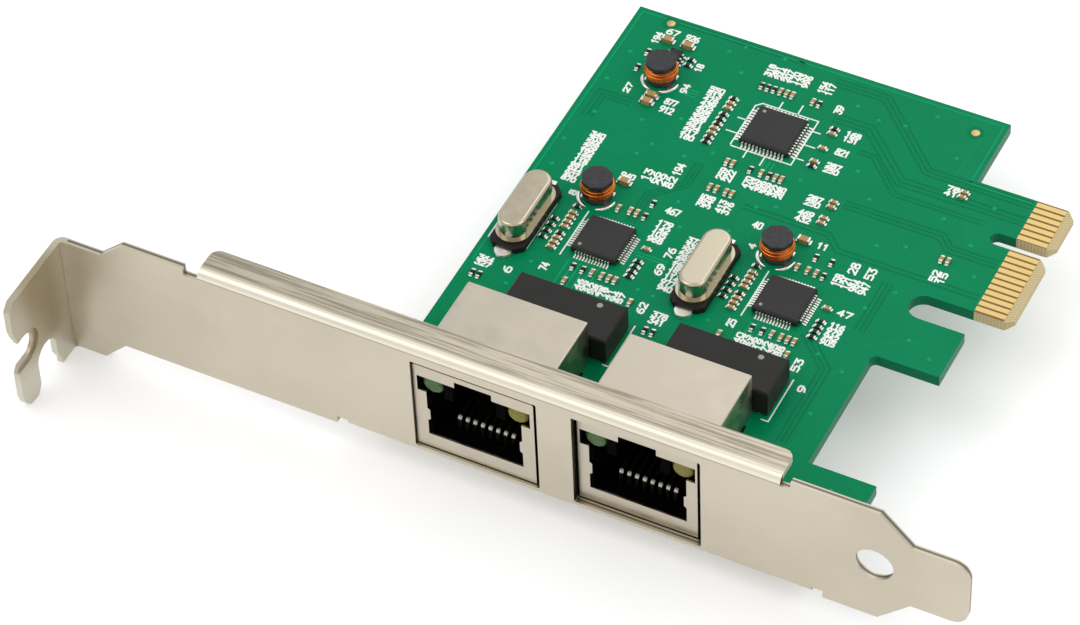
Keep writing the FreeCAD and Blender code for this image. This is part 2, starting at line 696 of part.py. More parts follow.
level_of = "board_top - jack_bottom"
inner_low = "jack_low_depth - shell"
for tag, where, front in JACKS:
    shield = new_body(tag + "_shield")
    side = plane_sketch(shield, "YZ_Plane", tag + "ShieldSide")
    step = "(" + level_of + " + 0.05)"
    tall = "(jack_top - jack_bottom)"
    outline(side, [
        ("0", "0"),
        ("jack_low_depth", "0"),
        ("jack_low_depth", step),
        ("jack_depth", step),
        ("jack_depth", tall),
        ("0", tall),
    ])
    extrude(shield, side, tag + "ShieldBlock", "jack_width", middle=True)
    room = plane_sketch(shield, "YZ_Plane", tag + "ShieldRoom")
    outline(room, [
        ("shell", "shell"),
        (inner_low, "shell"),
        (inner_low, step + " + shell"),
        ("jack_depth - shell", step + " + shell"),
        ("jack_depth - shell", tall + " - shell"),
        ("shell", tall + " - shell"),
    ])
    cut(shield, room, tag + "ShieldHollow", "jack_width - 2 * shell", middle=True)
    mouth = plane_sketch(shield, "XZ_Plane", tag + "ShieldMouth")
    right = [
        ("mouth_width / 2", "mouth_bottom - jack_bottom"),
        ("mouth_width / 2", "rib_bottom - jack_bottom"),
        ("mouth_width / 2 - rib_reach", "rib_bottom - jack_bottom + 0.3"),
        ("mouth_width / 2 - rib_reach", "rib_top - jack_bottom - 0.3"),
        ("mouth_width / 2", "rib_top - jack_bottom"),
        ("mouth_width / 2", "mouth_top - jack_bottom"),
        ("window_width / 2", "mouth_top - jack_bottom"),
        ("window_width / 2", "window_top - jack_bottom"),
        ("latch_width / 2", "window_top - jack_bottom"),
        ("latch_width / 2", "latch_top - jack_bottom"),
    ]
    outline(mouth, right + [("-(" + a + ")", b) for a, b in reversed(right)])
    cut(shield, mouth, tag + "ShieldMouthCut", "shell * 1.5", reverse=False)
    belly = plane_sketch(shield, "XY_Plane", tag + "ShieldBelly", offset=level_of + " + 1")
    rectangle(belly, "-wire_pitch * 4.4", "wire_pitch * 4.4",
              "jack_low_depth - shell * 1.5", "jack_depth - shell")
    cut(shield, belly, tag + "ShieldBellyCut", "2.2", reverse=False)
    feet = plane_sketch(shield, "XY_Plane", tag + "ShieldFeet", offset=level_of)
    pins = plane_sketch(shield, "XY_Plane", tag + "ShieldPins", offset=level_of + " + shell")
    for sign in ("", "-"):
        near = sign + "(jack_width / 2 - shell / 2)"
        far = sign + "(jack_width / 2 + leg_out)"
        inner = sign + "(jack_width / 2 + leg_out - leg_pin)"
        rectangle(feet, near, far, "leg_place - leg_length / 2", "leg_place + leg_length / 2")
        rectangle(pins, inner, far, "leg_place - leg_pin / 2", "leg_place + leg_pin / 2")
    extrude(shield, feet, tag + "ShieldFeetPad", "shell")
    extrude(shield, pins, tag + "ShieldPinPad", "board_thick + shell + 0.7", reverse=True)
    half = size("jack_width") / 2
    round_edges(shield, tag + "ShieldCorners", "shell * 0.9",
                lambda e: along(e, 1) and abs(abs(e.BoundBox.Center.x) - half) < 1e-4
                and at(e, z=size("jack_top") - size("jack_bottom")))
    place(shield, where, front, "jack_bottom")

    housing = new_body(tag + "_housing")
    gap = "0.05"
    core = plane_sketch(housing, "YZ_Plane", tag + "HousingSide")
    outline(core, [
        ("shell + " + gap, "shell + " + gap),
        (inner_low + " - " + gap, "shell + " + gap),
        (inner_low + " - " + gap, step + " + shell + " + gap),
        ("jack_depth - shell - " + gap, step + " + shell + " + gap),
        ("jack_depth - shell - " + gap, tall + " - shell - " + gap),
        ("shell + " + gap, tall + " - shell - " + gap),
    ])
    extrude(housing, core, tag + "HousingBlock", "jack_width - 2 * shell - 0.1", middle=True)
    plug = plane_sketch(housing, "XZ_Plane", tag + "PlugRoom")
    floor = "plug_floor - jack_bottom"
    rectangle(plug, "-plug_width / 2", "plug_width / 2", floor, "mouth_top - jack_bottom - 0.5")
    plug_depth = "(jack_low_depth - plug_back)"
    cut(housing, plug, tag + "PlugCut", plug_depth, reverse=False)
    latch = plane_sketch(housing, "XZ_Plane", tag + "LatchRoom")
    rectangle(latch, "-latch_width / 2 - 0.4", "latch_width / 2 + 0.4",
              "mouth_top - jack_bottom - 0.7", "latch_top - jack_bottom - 0.3")
    cut(housing, latch, tag + "LatchCut", plug_depth + " - 2.5", reverse=False)
    lamps = plane_sketch(housing, "XZ_Plane", tag + "LampRooms")
    for sign in ("", "-"):
        rectangle(lamps, sign + "(lamp_offset - lamp_size / 2 - 0.1)",
                  sign + "(lamp_offset + lamp_size / 2 + 0.1)",
                  "lamp_level - jack_bottom - lamp_size / 2 - 0.1",
                  "lamp_level - jack_bottom + lamp_size / 2 + 0.1")
    cut(housing, lamps, tag + "LampCuts", "lamp_setback + lamp_length + 0.3", reverse=False)
    groove = plane_sketch(housing, "YZ_Plane", tag + "WireRoom")
    turn = plug_depth + " + 0.35"
    outline(groove, [
        ("2.0", "0.55"),
        (turn + " + wire_thick + 0.1", "0.55"),
        (turn + " + wire_thick + 0.1", "board_top - jack_bottom + 0.35"),
        ("jack_depth", "board_top - jack_bottom + 0.35"),
        ("jack_depth", "board_top - jack_bottom + 0.55 + wire_thick"),
        (turn + " - 0.1", "board_top - jack_bottom + 0.55 + wire_thick"),
        (turn + " - 0.1", floor + " + 0.1"),
        ("2.0", floor + " + 0.1"),
    ])
    cut(housing, groove, tag + "WireCut", "wire_pitch * 7 + wire_width + 0.3", middle=True)
    place(housing, where, front, "jack_bottom")

    wires = new_body(tag + "_contacts")
    strip = plane_sketch(wires, "YZ_Plane", tag + "WireSide", offset="-wire_pitch * 3.5")
    low = "0.75"
    run_high = "board_top - jack_bottom + 0.45"
    outline(strip, [
        ("2.6", low),
        (turn + " + wire_thick", low),
        (turn + " + wire_thick", run_high),
        ("13.6", run_high),
        ("13.6", level_of),
        ("14.1", level_of),
        ("14.1", level_of + " + wire_thick * 0.8"),
        ("13.6 + wire_thick", level_of + " + wire_thick * 0.8"),
        ("13.6 + wire_thick", run_high + " + wire_thick"),
        (turn, run_high + " + wire_thick"),
        (turn, low + " + wire_thick"),
        ("3.0", low + " + wire_thick"),
        ("2.7", low + " + wire_thick + 0.5"),
        ("3.0", low + " + wire_thick + wire_bend"),
        (turn + " - 1.95", low + " + wire_thick + wire_bend + wire_rise"),
        (turn + " - 2.05", low + " + wire_thick * 2 + wire_bend + wire_rise"),
        ("2.8", low + " + wire_thick * 2 + wire_bend"),
        ("2.4", low + " + wire_thick + 0.5"),
    ])
    first_wire = extrude(wires, strip, tag + "FirstWire", "wire_width", middle=True)
    row = wires.newObject("PartDesign::LinearPattern", tag + "WireRow")
    row.Originals = [first_wire]
    row.Direction = (strip, ["N_Axis"])
    bind(row, "Length", "wire_pitch * 7")
    row.Occurrences = 8
    wires.Tip = row
    place(wires, where, front, "jack_bottom")
    doc.recompute()

    for colour, sign in (("green", "-"), ("yellow", "")):
        lamp = new_body(tag + "_lamp_" + colour)
        back = plane_sketch(lamp, "XZ_Plane", tag + colour + "LampBack", offset="-1.2")
        half_lamp = "lamp_size / 2"
        rectangle(back, "-" + half_lamp, half_lamp, "-" + half_lamp, half_lamp)
        extrude(lamp, back, tag + colour + "LampBlock", "lamp_length - 1.2", reverse=True)
        lens = plane_sketch(lamp, "XZ_Plane", tag + colour + "LampLens")
        circle(lens, "0", "0", half_lamp)
        extrude(lamp, lens, tag + colour + "LampLensPad", "1.5", reverse=True)
        round_edges(lamp, tag + colour + "LampDome", "lamp_size / 5",
                    lambda e: at(e, y=0) and e.Curve.TypeId == "Part::GeomCircle")
        place(lamp, where + " + " + sign + "lamp_offset", front + " + lamp_setback", "lamp_level")

# ---------------------------------------------------------------- packages


def package(label, x, y, half_x, half_y, height, lift, dot_x, dot_y, dot):
    """Mould one flat package with a bevelled top and a shallow first-pin mark."""
    body = new_body(label)
    plan_of = plane_sketch(body, "XY_Plane", label + "Plan", offset=lift)
    rectangle(plan_of, "-" + half_x, half_x, "-" + half_y, half_y)
    extrude(body, plan_of, label + "Block", height + " - " + lift)
    top = number(height)
    bevel_edges(body, label + "Bevel", "chip_bevel",
                lambda e: at(e, z=top) and (along(e, 0) or along(e, 1)))
    mark = plane_sketch(body, "XY_Plane", label + "Mark", offset=height)
    circle(mark, dot_x, dot_y, dot)
    cut(body, mark, label + "MarkCut", "0.08")
    place(body, x, y, "board_top")
    return body


def gull_lead(reach, root, rise, width, thick):
    """Shape one lead in the XZ plane: from the package side down to its foot."""
    bend = root + (reach - root) * 0.45
    points = [
        V(root, 0, rise),
        V(bend, 0, rise),
        V(bend + thick * 0.6, 0, thick),
        V(reach, 0, thick),
        V(reach, 0, 0),
        V(bend, 0, 0),
        V(bend - thick * 0.4, 0, rise - thick),
        V(root, 0, rise - thick),
    ]
    wire = Part.makePolygon(points + points[:1])
    solid = Part.Face(wire).extrude(V(0, width, 0))
    solid.translate(V(0, -width / 2, 0))
    return solid


def lead_rows(label, x, y, body_size, span, count, pitch):
    """Set leads on the four sides of a square flat package."""
    solids = []
    lead = gull_lead(span / 2, body_size / 2, size("chip_height") * 0.55, pitch * 0.5,
                     size("pin_sheet"))
    for side in range(4):
        for index in range(count):
            copy = lead.copy()
            copy.translate(V(0, (index - (count - 1) / 2) * pitch, 0))
            copy.rotate(V(0, 0, 0), V(0, 0, 1), 90 * side)
            copy.translate(V(x, y, size("board_top")))
            solids.append(copy)
    return shape_node(label, solids)


for tag, where in (("controller_left", "control_one"), ("controller_right", "control_two")):
    package(tag + "_body", where, where + "_y", "control_body / 2", "control_body / 2",
            "chip_height", "chip_lift", "-control_body / 2 + 0.8", "-control_body / 2 + 0.8", "0.3")
    lead_rows(tag + "_leads", size(where), size(where + "_y"), size("control_body"),
              size("control_span"), int(size("control_pins")), size("control_pitch"))
package("switch_body", "switch_place", "switch_place_y", "switch_body / 2", "switch_body / 2",
        "chip_height", "chip_lift", "-switch_body / 2 + 0.9", "switch_body / 2 - 0.9", "0.35")
lead_rows("switch_leads", size("switch_place"), size("switch_place_y"), size("switch_body"),
          size("switch_span"), int(size("control_pins")), size("switch_pitch"))

for tag, where, front in (("magnetics_left", "magnet_one", "jack_one_front"),
                          ("magnetics_right", "magnet_two", "jack_two_front")):
    middle_y = front + " + jack_depth + magnet_behind + magnet_depth / 2"
    package(tag + "_body", where, middle_y, "magnet_width / 2", "magnet_depth / 2",
            "magnet_height", "magnet_lift", "magnet_width / 2 - 3.2", "magnet_depth / 2 - 1.1", "0.42")
    legs = []
    for index in range(int(size("magnet_pins"))):
        x = size(where) + (index - (size("magnet_pins") - 1) / 2) * size("magnet_pitch")
        for sign in (-1, 1):
            y = number(middle_y) + sign * (size("magnet_depth") / 2 - 0.5)
            legs.append(block(x, y, size("board_top"), 0.4, 0.9, size("magnet_lift")))
    shape_node(tag + "_leads", legs)

regulator_level = size("board_top")
package("regulator_body", "regulator_x", "regulator_y", "0.8", "1.15", "chip_height", "chip_lift",
        "-0.4", "0.7", "0.15")
legs = []
for sign in (0, 1):
    for index in (-1, 0, 1):
        leg = gull_lead(1.4, 0.8, size("chip_height") * 0.5, 0.32, size("pin_sheet"))
        leg.translate(V(0, index * 0.76, 0))
        leg.rotate(V(0, 0, 0), V(0, 0, 1), 180 * sign)
        leg.translate(V(size("regulator_x"), size("regulator_y"), regulator_level))
        legs.append(leg)
shape_node("regulator_leads", legs)

# ---------------------------------------------------------------- crystals


def oval(sketch, across, run):
    """Draw a long oval along the sketch's upright, half circles at both ends."""
    radius = number(across) / 2
    straight = number(run) / 2 - radius
    up = V(0, straight, 0)
    down = V(0, -straight, 0)
    normal = V(0, 0, 1)
    arcs = [
        Part.ArcOfCircle(Part.Circle(up, normal, radius), 0, math.pi),
        Part.ArcOfCircle(Part.Circle(down, normal, radius), math.pi, 2 * math.pi),
    ]
    sides = [
        Part.LineSegment(V(-radius, straight, 0), V(-radius, -straight, 0)),
        Part.LineSegment(V(radius, -straight, 0), V(radius, straight, 0)),
    ]
    for item in (arcs[0], sides[0], arcs[1], sides[1]):
        sketch.addGeometry(item, False)
    for first, second in ((0, 1), (1, 2), (2, 3), (3, 0)):
        sketch.addConstraint(Sketcher.Constraint("Tangent", first, 2, second, 1))
    for arc, text in ((0, "(" + run + " - " + across + ") / 2"),
                      (2, "-(" + run + " - " + across + ") / 2")):
        fix_point(sketch, arc, 3, "0", text)
    index = sketch.addConstraint(Sketcher.Constraint("Radius", 0, radius))
    bind(sketch, "Constraints[%d]" % index, across + " / 2")


for tag, where in (("crystal_left", "crystal_one"), ("crystal_right", "crystal_two")):
    base = new_body(tag + "_base")
    base_plan = plane_sketch(base, "XY_Plane", tag + "BasePlan")
    rectangle(base_plan, "-crystal_base / 2", "crystal_base / 2",
              "-crystal_base_run / 2", "crystal_base_run / 2")
    extrude(base, base_plan, tag + "BasePad", "crystal_base_high")
    bevel_edges(base, tag + "BaseCorners", "0.8", lambda e: along(e, 2))
    place(base, where, where + "_y", "board_top")

    can = new_body(tag + "_can")
    rim = plane_sketch(can, "XY_Plane", tag + "Rim", offset="crystal_base_high")
    oval(rim, "crystal_rim", "crystal_rim_run")
    extrude(can, rim, tag + "RimPad", "crystal_rim_high")
    dome = plane_sketch(can, "XY_Plane", tag + "Dome", offset="crystal_base_high")
    oval(dome, "crystal_can", "crystal_can_run")
    extrude(can, dome, tag + "DomePad", "crystal_high - crystal_base_high")
    can_top = size("crystal_high")
    round_edges(can, tag + "DomeRound", "crystal_round", lambda e: at(e, z=can_top))
    place(can, where, where + "_y", "board_top")

    legs = []
    for sign in (-1, 1):
        y = size(where + "_y") + sign * (size("crystal_base_run") / 2 + 0.45)
        legs.append(block(size(where), y, size("board_top"), 1.0, 0.9, 0.35))
    shape_node(tag + "_leads", legs)

# ---------------------------------------------------------------- inductors

for tag, where in (("inductor_far", "coil_one"), ("inductor_left", "coil_two"),
                   ("inductor_right", "coil_three")):
    core = new_body(tag + "_core")
    profile = plane_sketch(core, "XZ_Plane", tag + "CoreProfile")
    outline(profile, [
        ("0", "0.1"),
        ("coil_foot / 2", "0.1"),
        ("coil_foot / 2", "0.1 + coil_cheek"),
        ("coil_waist / 2", "0.1 + coil_cheek"),
        ("coil_waist / 2", "coil_high - coil_cheek"),
        ("coil_cap / 2", "coil_high - coil_cheek"),
        ("coil_cap / 2", "coil_high"),
        ("0", "coil_high"),
    ])
    turned = core.newObject("PartDesign::Revolution", tag + "CoreTurn")
    turned.Profile = profile
    turned.ReferenceAxis = (profile, ["V_Axis"])
    turned.Angle = 360
    doc.recompute()
    place(core, where, where + "_y", "board_top")

    winding = new_body(tag + "_winding")
    ring = plane_sketch(winding, "XZ_Plane", tag + "WindingProfile")
    rectangle(ring, "coil_waist / 2 + 0.03", "coil_wire / 2",
              "0.13 + coil_cheek", "coil_high - coil_cheek - 0.03")
    wound = winding.newObject("PartDesign::Revolution", tag + "WindingTurn")
    wound.Profile = ring
    wound.ReferenceAxis = (ring, ["V_Axis"])
    wound.Angle = 360
    doc.recompute()
    place(winding, where, where + "_y", "board_top")

    legs = []
    for sign in (-1, 1):
        x = size(where) + sign * 1.35
        legs.append(block(x, size(where + "_y"), size("board_top"), 1.1, 2.4, 0.1))
    shape_node(tag + "_terminals", legs)

# ---------------------------------------------------------------- small chips


def chips(label, rows, run, across, tall):
    """Stand small chip parts on the board, one solid each."""
    solids = []
    for x, y, upright in rows:
        span_x, span_y = (across, run) if upright else (run, across)
        solids.append(block(x, y, size("board_top"), span_x, span_y, tall))
    return shape_node(label, solids)


chips("capacitors_small", CAPACITORS, size("chip_run"), size("chip_across"), size("chip_tall"))
chips("resistors_small", RESISTORS, size("chip_run"), size("chip_across"), size("chip_tall") * 0.8)
chips("capacitors_large", BIG_CAPACITORS, size("big_chip_run"), size("big_chip_across"),
      size("big_chip_tall"))

# ---------------------------------------------------------------- fasteners

for tag, post in (("left", "screw_left"), ("right", "screw_right")):
    spacer = new_body("spacer_" + tag)
    ring = plane_sketch(spacer, "XY_Plane", "SpacerRing" + tag)
    circle(ring, "0", "0", "spacer_size / 2")
    extrude(spacer, ring, "SpacerPad" + tag, "board_top - board_thick - sheet")
    bore = plane_sketch(spacer, "XY_Plane", "SpacerBore" + tag,
                        offset="board_top - board_thick - sheet")
    circle(bore, "0", "0", "screw_shank / 2 + 0.05")
    cut(spacer, bore, "SpacerBoreCut" + tag, "board_top")
    place(spacer, post, "screw_inset", "sheet")

    screw = new_body("screw_" + tag)
    stem = plane_sketch(screw, "XZ_Plane", "ScrewProfile" + tag)
    outline(stem, [
        ("0", "-board_thick - screw_grip"),
        ("screw_shank / 2", "-board_thick - screw_grip"),
        ("screw_shank / 2", "0"),
        ("screw_head / 2", "0"),
        ("screw_head / 2", "screw_head_high * 0.55"),
        ("screw_head / 3", "screw_head_high"),
        ("0", "screw_head_high"),
    ])
    turned = screw.newObject("PartDesign::Revolution", "ScrewTurn" + tag)
    turned.Profile = stem
    turned.ReferenceAxis = (stem, ["V_Axis"])
    turned.Angle = 360
    doc.recompute()
    cross = plane_sketch(screw, "XY_Plane", "ScrewCross" + tag, offset="screw_head_high")
    rectangle(cross, "-0.9", "0.9", "-0.2", "0.2")
    cut(screw, cross, "ScrewCrossCut" + tag, "0.7")
    cross_two = plane_sketch(screw, "XY_Plane", "ScrewCrossTwo" + tag, offset="screw_head_high")
    rectangle(cross_two, "-0.2", "0.2", "-0.9", "0.9")
    cut(screw, cross_two, "ScrewCrossTwoCut" + tag, "0.7")
    place(screw, post, "screw_inset", "board_top")

# ---------------------------------------------------------------- check and export

doc.recompute()
for item in doc.Objects:
    if "Invalid" in item.State or "Error" in item.State:
        raise RuntimeError("%s failed: %s" % (item.Label, item.State))
os.makedirs("parts", exist_ok=True)
for node in NODES:
    shape = node.Shape
    if shape.isNull() or not shape.isValid() or not shape.Solids:
        raise RuntimeError("%s has no valid solid" % node.Label)
for node in NODES:
    node.Shape.exportStep("parts/" + node.Label + ".step")
    print("%-34s %3d solids %10.3f mm3" % (node.Label, len(node.Shape.Solids), node.Shape.Volume))
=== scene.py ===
"""Looks of a two-jack network interface card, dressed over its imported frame.

Lengths are given in millimetres and turned into metres where a mesh is made. X runs
along the bracket, Y from the bracket back over the board, Z out of the component side.
"""

import json
import logging
import math
from dataclasses import dataclass, field
from enum import Enum
from functools import cache, reduce
from typing import Sequence

import bmesh
import bpy
import numpy as np
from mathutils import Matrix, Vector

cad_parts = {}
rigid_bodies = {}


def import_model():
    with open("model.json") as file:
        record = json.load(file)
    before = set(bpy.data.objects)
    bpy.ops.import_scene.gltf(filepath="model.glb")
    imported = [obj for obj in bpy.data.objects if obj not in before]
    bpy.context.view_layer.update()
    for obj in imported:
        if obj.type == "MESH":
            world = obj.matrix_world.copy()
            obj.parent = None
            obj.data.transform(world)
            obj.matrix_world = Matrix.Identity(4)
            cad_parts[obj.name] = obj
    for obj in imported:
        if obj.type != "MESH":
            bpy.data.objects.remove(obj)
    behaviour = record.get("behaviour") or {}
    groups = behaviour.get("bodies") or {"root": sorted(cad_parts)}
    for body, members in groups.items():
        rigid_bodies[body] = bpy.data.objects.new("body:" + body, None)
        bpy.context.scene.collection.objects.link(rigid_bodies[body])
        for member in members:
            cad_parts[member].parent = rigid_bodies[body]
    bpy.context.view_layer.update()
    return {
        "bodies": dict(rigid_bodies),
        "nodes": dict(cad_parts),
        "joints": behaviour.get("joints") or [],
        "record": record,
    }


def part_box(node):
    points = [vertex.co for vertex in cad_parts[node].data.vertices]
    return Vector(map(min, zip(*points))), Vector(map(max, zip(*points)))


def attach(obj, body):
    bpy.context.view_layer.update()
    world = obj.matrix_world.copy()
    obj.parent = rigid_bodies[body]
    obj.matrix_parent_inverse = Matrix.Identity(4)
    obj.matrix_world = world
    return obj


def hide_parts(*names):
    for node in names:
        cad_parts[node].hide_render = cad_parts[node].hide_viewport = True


LOG = logging.getLogger("network_card")
MM = 0.001
BODY = "root"
TOP = 8.5  # the board's upper face
BOTTOM = 6.93  # its lower face
SINK = 0.01  # how far print and tracks go into it
STAGGER = 0.002  # height between neighbouring bars

Socket = bpy.types.NodeSocket
Material = bpy.types.Material
Tone = tuple[int, int, int]
Pair = tuple[float, float]
Place = tuple[float, float, float]
Spots = Sequence[Pair]
ArrayPair = tuple[np.ndarray, np.ndarray]


# ---- materials


def linear(tone: Tone) -> tuple[float, float, float, float]:
    """Turn a display colour, 0 to 255, into the linear one that shaders take.

    Args:
        tone: display red, green and blue.

    Returns:
        Linear red, green, blue and an alpha of one.
    """
    share = np.array(tone) / 255.0
    value = np.where(share <= 0.04045, share / 12.92, ((share + 0.055) / 1.055) ** 2.4)
    return float(value[0]), float(value[1]), float(value[2]), 1.0


def toned(tone: Tone, factor: float, lift: int = 0) -> Tone:
    """Return a display colour made darker or lighter by a factor, then lifted."""
    return tuple(min(255, int(c * factor + lift)) for c in tone)


class Nodes:
    """The shader nodes of a material or of the world."""

    def __init__(self, owner: bpy.types.ID) -> None:
        """Start with an empty tree.

        Args:
            owner: the material or world.
        """
        owner.use_nodes = True
        self.tree = owner.node_tree
        self.tree.nodes.clear()

    def fill(self, target: Socket, value: object) -> None:
        """Link a socket to another, or set it to a plain value.

        Args:
            target: the socket that takes the value.
            value: a socket, a number or a tuple.
        """
        if isinstance(value, Socket):
            self.tree.links.new(value, target)
        else:
            target.default_value = value

    def node(self, kind: str, **inputs: object) -> bpy.types.Node:
        """Add a node.

        Args:
            kind: its type, without the word that all of them start with.
            inputs: values by input name, with underscores standing for spaces.

        Returns:
            The node.
        """
        item = self.tree.nodes.new("ShaderNode" + kind)
        for key, value in inputs.items():
            self.fill(item.inputs[key.replace("_", " ")], value)
        return item


class Graph(Nodes):
    """One procedural material."""

    def __init__(self, name: str) -> None:
        """Start a material that holds a shader, its output and the coordinates.

        Args:
            name: the material's name.
        """
        self.material = bpy.data.materials.new(name)
        super().__init__(self.material)
        self.shader = self.node("BsdfPrincipled")
        self.node("OutputMaterial", Surface=self.shader.outputs["BSDF"])
        self.coords = self.node("TexCoord")

    def give(self, **values: object) -> None:
        """Set or drive the shader's own sockets, with underscores standing for spaces."""
        for key, value in values.items():
            self.fill(self.shader.inputs[key.replace("_", " ")], value)

    def scaled(self, scale: float | Place, turn: float = 0.0) -> Socket:
        """Return object coordinates turned about Z and then multiplied.

        Args:
            scale: one factor, or one for each axis.
            turn: the turn in degrees.

        Returns:
            The vector socket.
        """
        factors = scale if isinstance(scale, tuple) else (scale, scale, scale)
        spin = self.node("Mapping", Vector=self.coords.outputs["Object"],
                         Rotation=(0.0, 0.0, math.radians(turn)))
        return self.node("Mapping", Vector=spin.outputs["Vector"], Scale=factors).outputs["Vector"]

    def axes(self, turn: float = 0.0) -> tuple[Socket, ...]:
        """Return the object coordinates X, Y and Z in millimetres, turned about Z."""
        return tuple(self.node("SeparateXYZ", Vector=self.scaled(1 / MM, turn)).outputs)

    def facing(self) -> tuple[Socket, ...]:
        """Return how much the surface faces along X, Y and Z, whatever the sign."""
        split = self.node("SeparateXYZ", Vector=self.coords.outputs["Normal"])
        return tuple(self.math("ABSOLUTE", part) for part in split.outputs)

    def noise(self, scale: float | Place, detail: float = 3.0,
              roughness: float = 0.55) -> Socket:
        """Return a cloud pattern between 0 and 1, with so many clouds to a metre."""
        return self.node("TexNoise", Vector=self.scaled(scale), Scale=1.0, Detail=detail,
                         Roughness=roughness).outputs["Fac"]

    def math(self, kind: str, *values: object) -> Socket:
        """Return one arithmetic step.

        Args:
            kind: the operation.
            values: the sockets or numbers that it takes.

        Returns:
            The result's socket.
        """
        node = self.node("Math")
        node.operation = kind
        for target, value in zip(node.inputs, values):
            self.fill(target, value)
        return node.outputs["Value"]

    def times(self, *values: object) -> Socket:
        """Return the product of sockets and numbers, taken in order."""
        return reduce(lambda product, value: self.math("MULTIPLY", product, value), values)

    def above(self, value: Socket, limit: float) -> Socket:
        """Return 1 where a value is over a limit, and 0 elsewhere."""
        return self.math("GREATER_THAN", value, limit)

    def below(self, value: Socket, limit: float) -> Socket:
        """Return 1 where a value is under a limit, and 0 elsewhere."""
        return self.math("LESS_THAN", value, limit)

    def band(self, value: Socket, low: float, high: float) -> Socket:
        """Return 1 where a value lies between two limits, and 0 elsewhere."""
        return self.times(self.above(value, low), self.below(value, high))

    def wave(self, value: Socket, pitch: float) -> Socket:
        """Return the sine of a value, one wave to a pitch."""
        return self.math("SINE", self.times(value, 2 * math.pi / pitch))

    def fade(self, value: Socket, low: float, high: float, start: float = 0.0,
             end: float = 1.0) -> Socket:
        """Return a value stretched softly from one pair of limits to another.

        Args:
            value: the value, held at the limits outside them.
            low: lower limit.
            high: upper limit.
            start: what the lower limit becomes.
            end: what the upper limit becomes.

        Returns:
            The result's socket.
        """
        node = self.node("MapRange", Value=value, From_Min=low, From_Max=high, To_Min=start,
                         To_Max=end)
        node.interpolation_type = "SMOOTHSTEP"
        return node.outputs["Result"]

    def mix(self, share: object, first: object, second: object) -> Socket:
        """Return a blend of two colours.

        Args:
            share: how much of the second, as a socket or a number.
            first: a display colour or a colour socket.
            second: another.

        Returns:
            The blend's socket.
        """
        node = self.node("Mix")
        node.data_type = "RGBA"
        for slot, value in ((0, share), (6, first), (7, second)):
            self.fill(node.inputs[slot], linear(value) if isinstance(value, tuple) else value)
        return node.outputs[2]

    def bump(self, height: Socket, strength: float, distance: float) -> None:
        """Press a height pattern, its depth in millimetres, into the shader's normal."""
        node = self.node("Bump", Height=height, Strength=strength, Distance=distance * MM)
        self.give(Normal=node.outputs["Normal"])


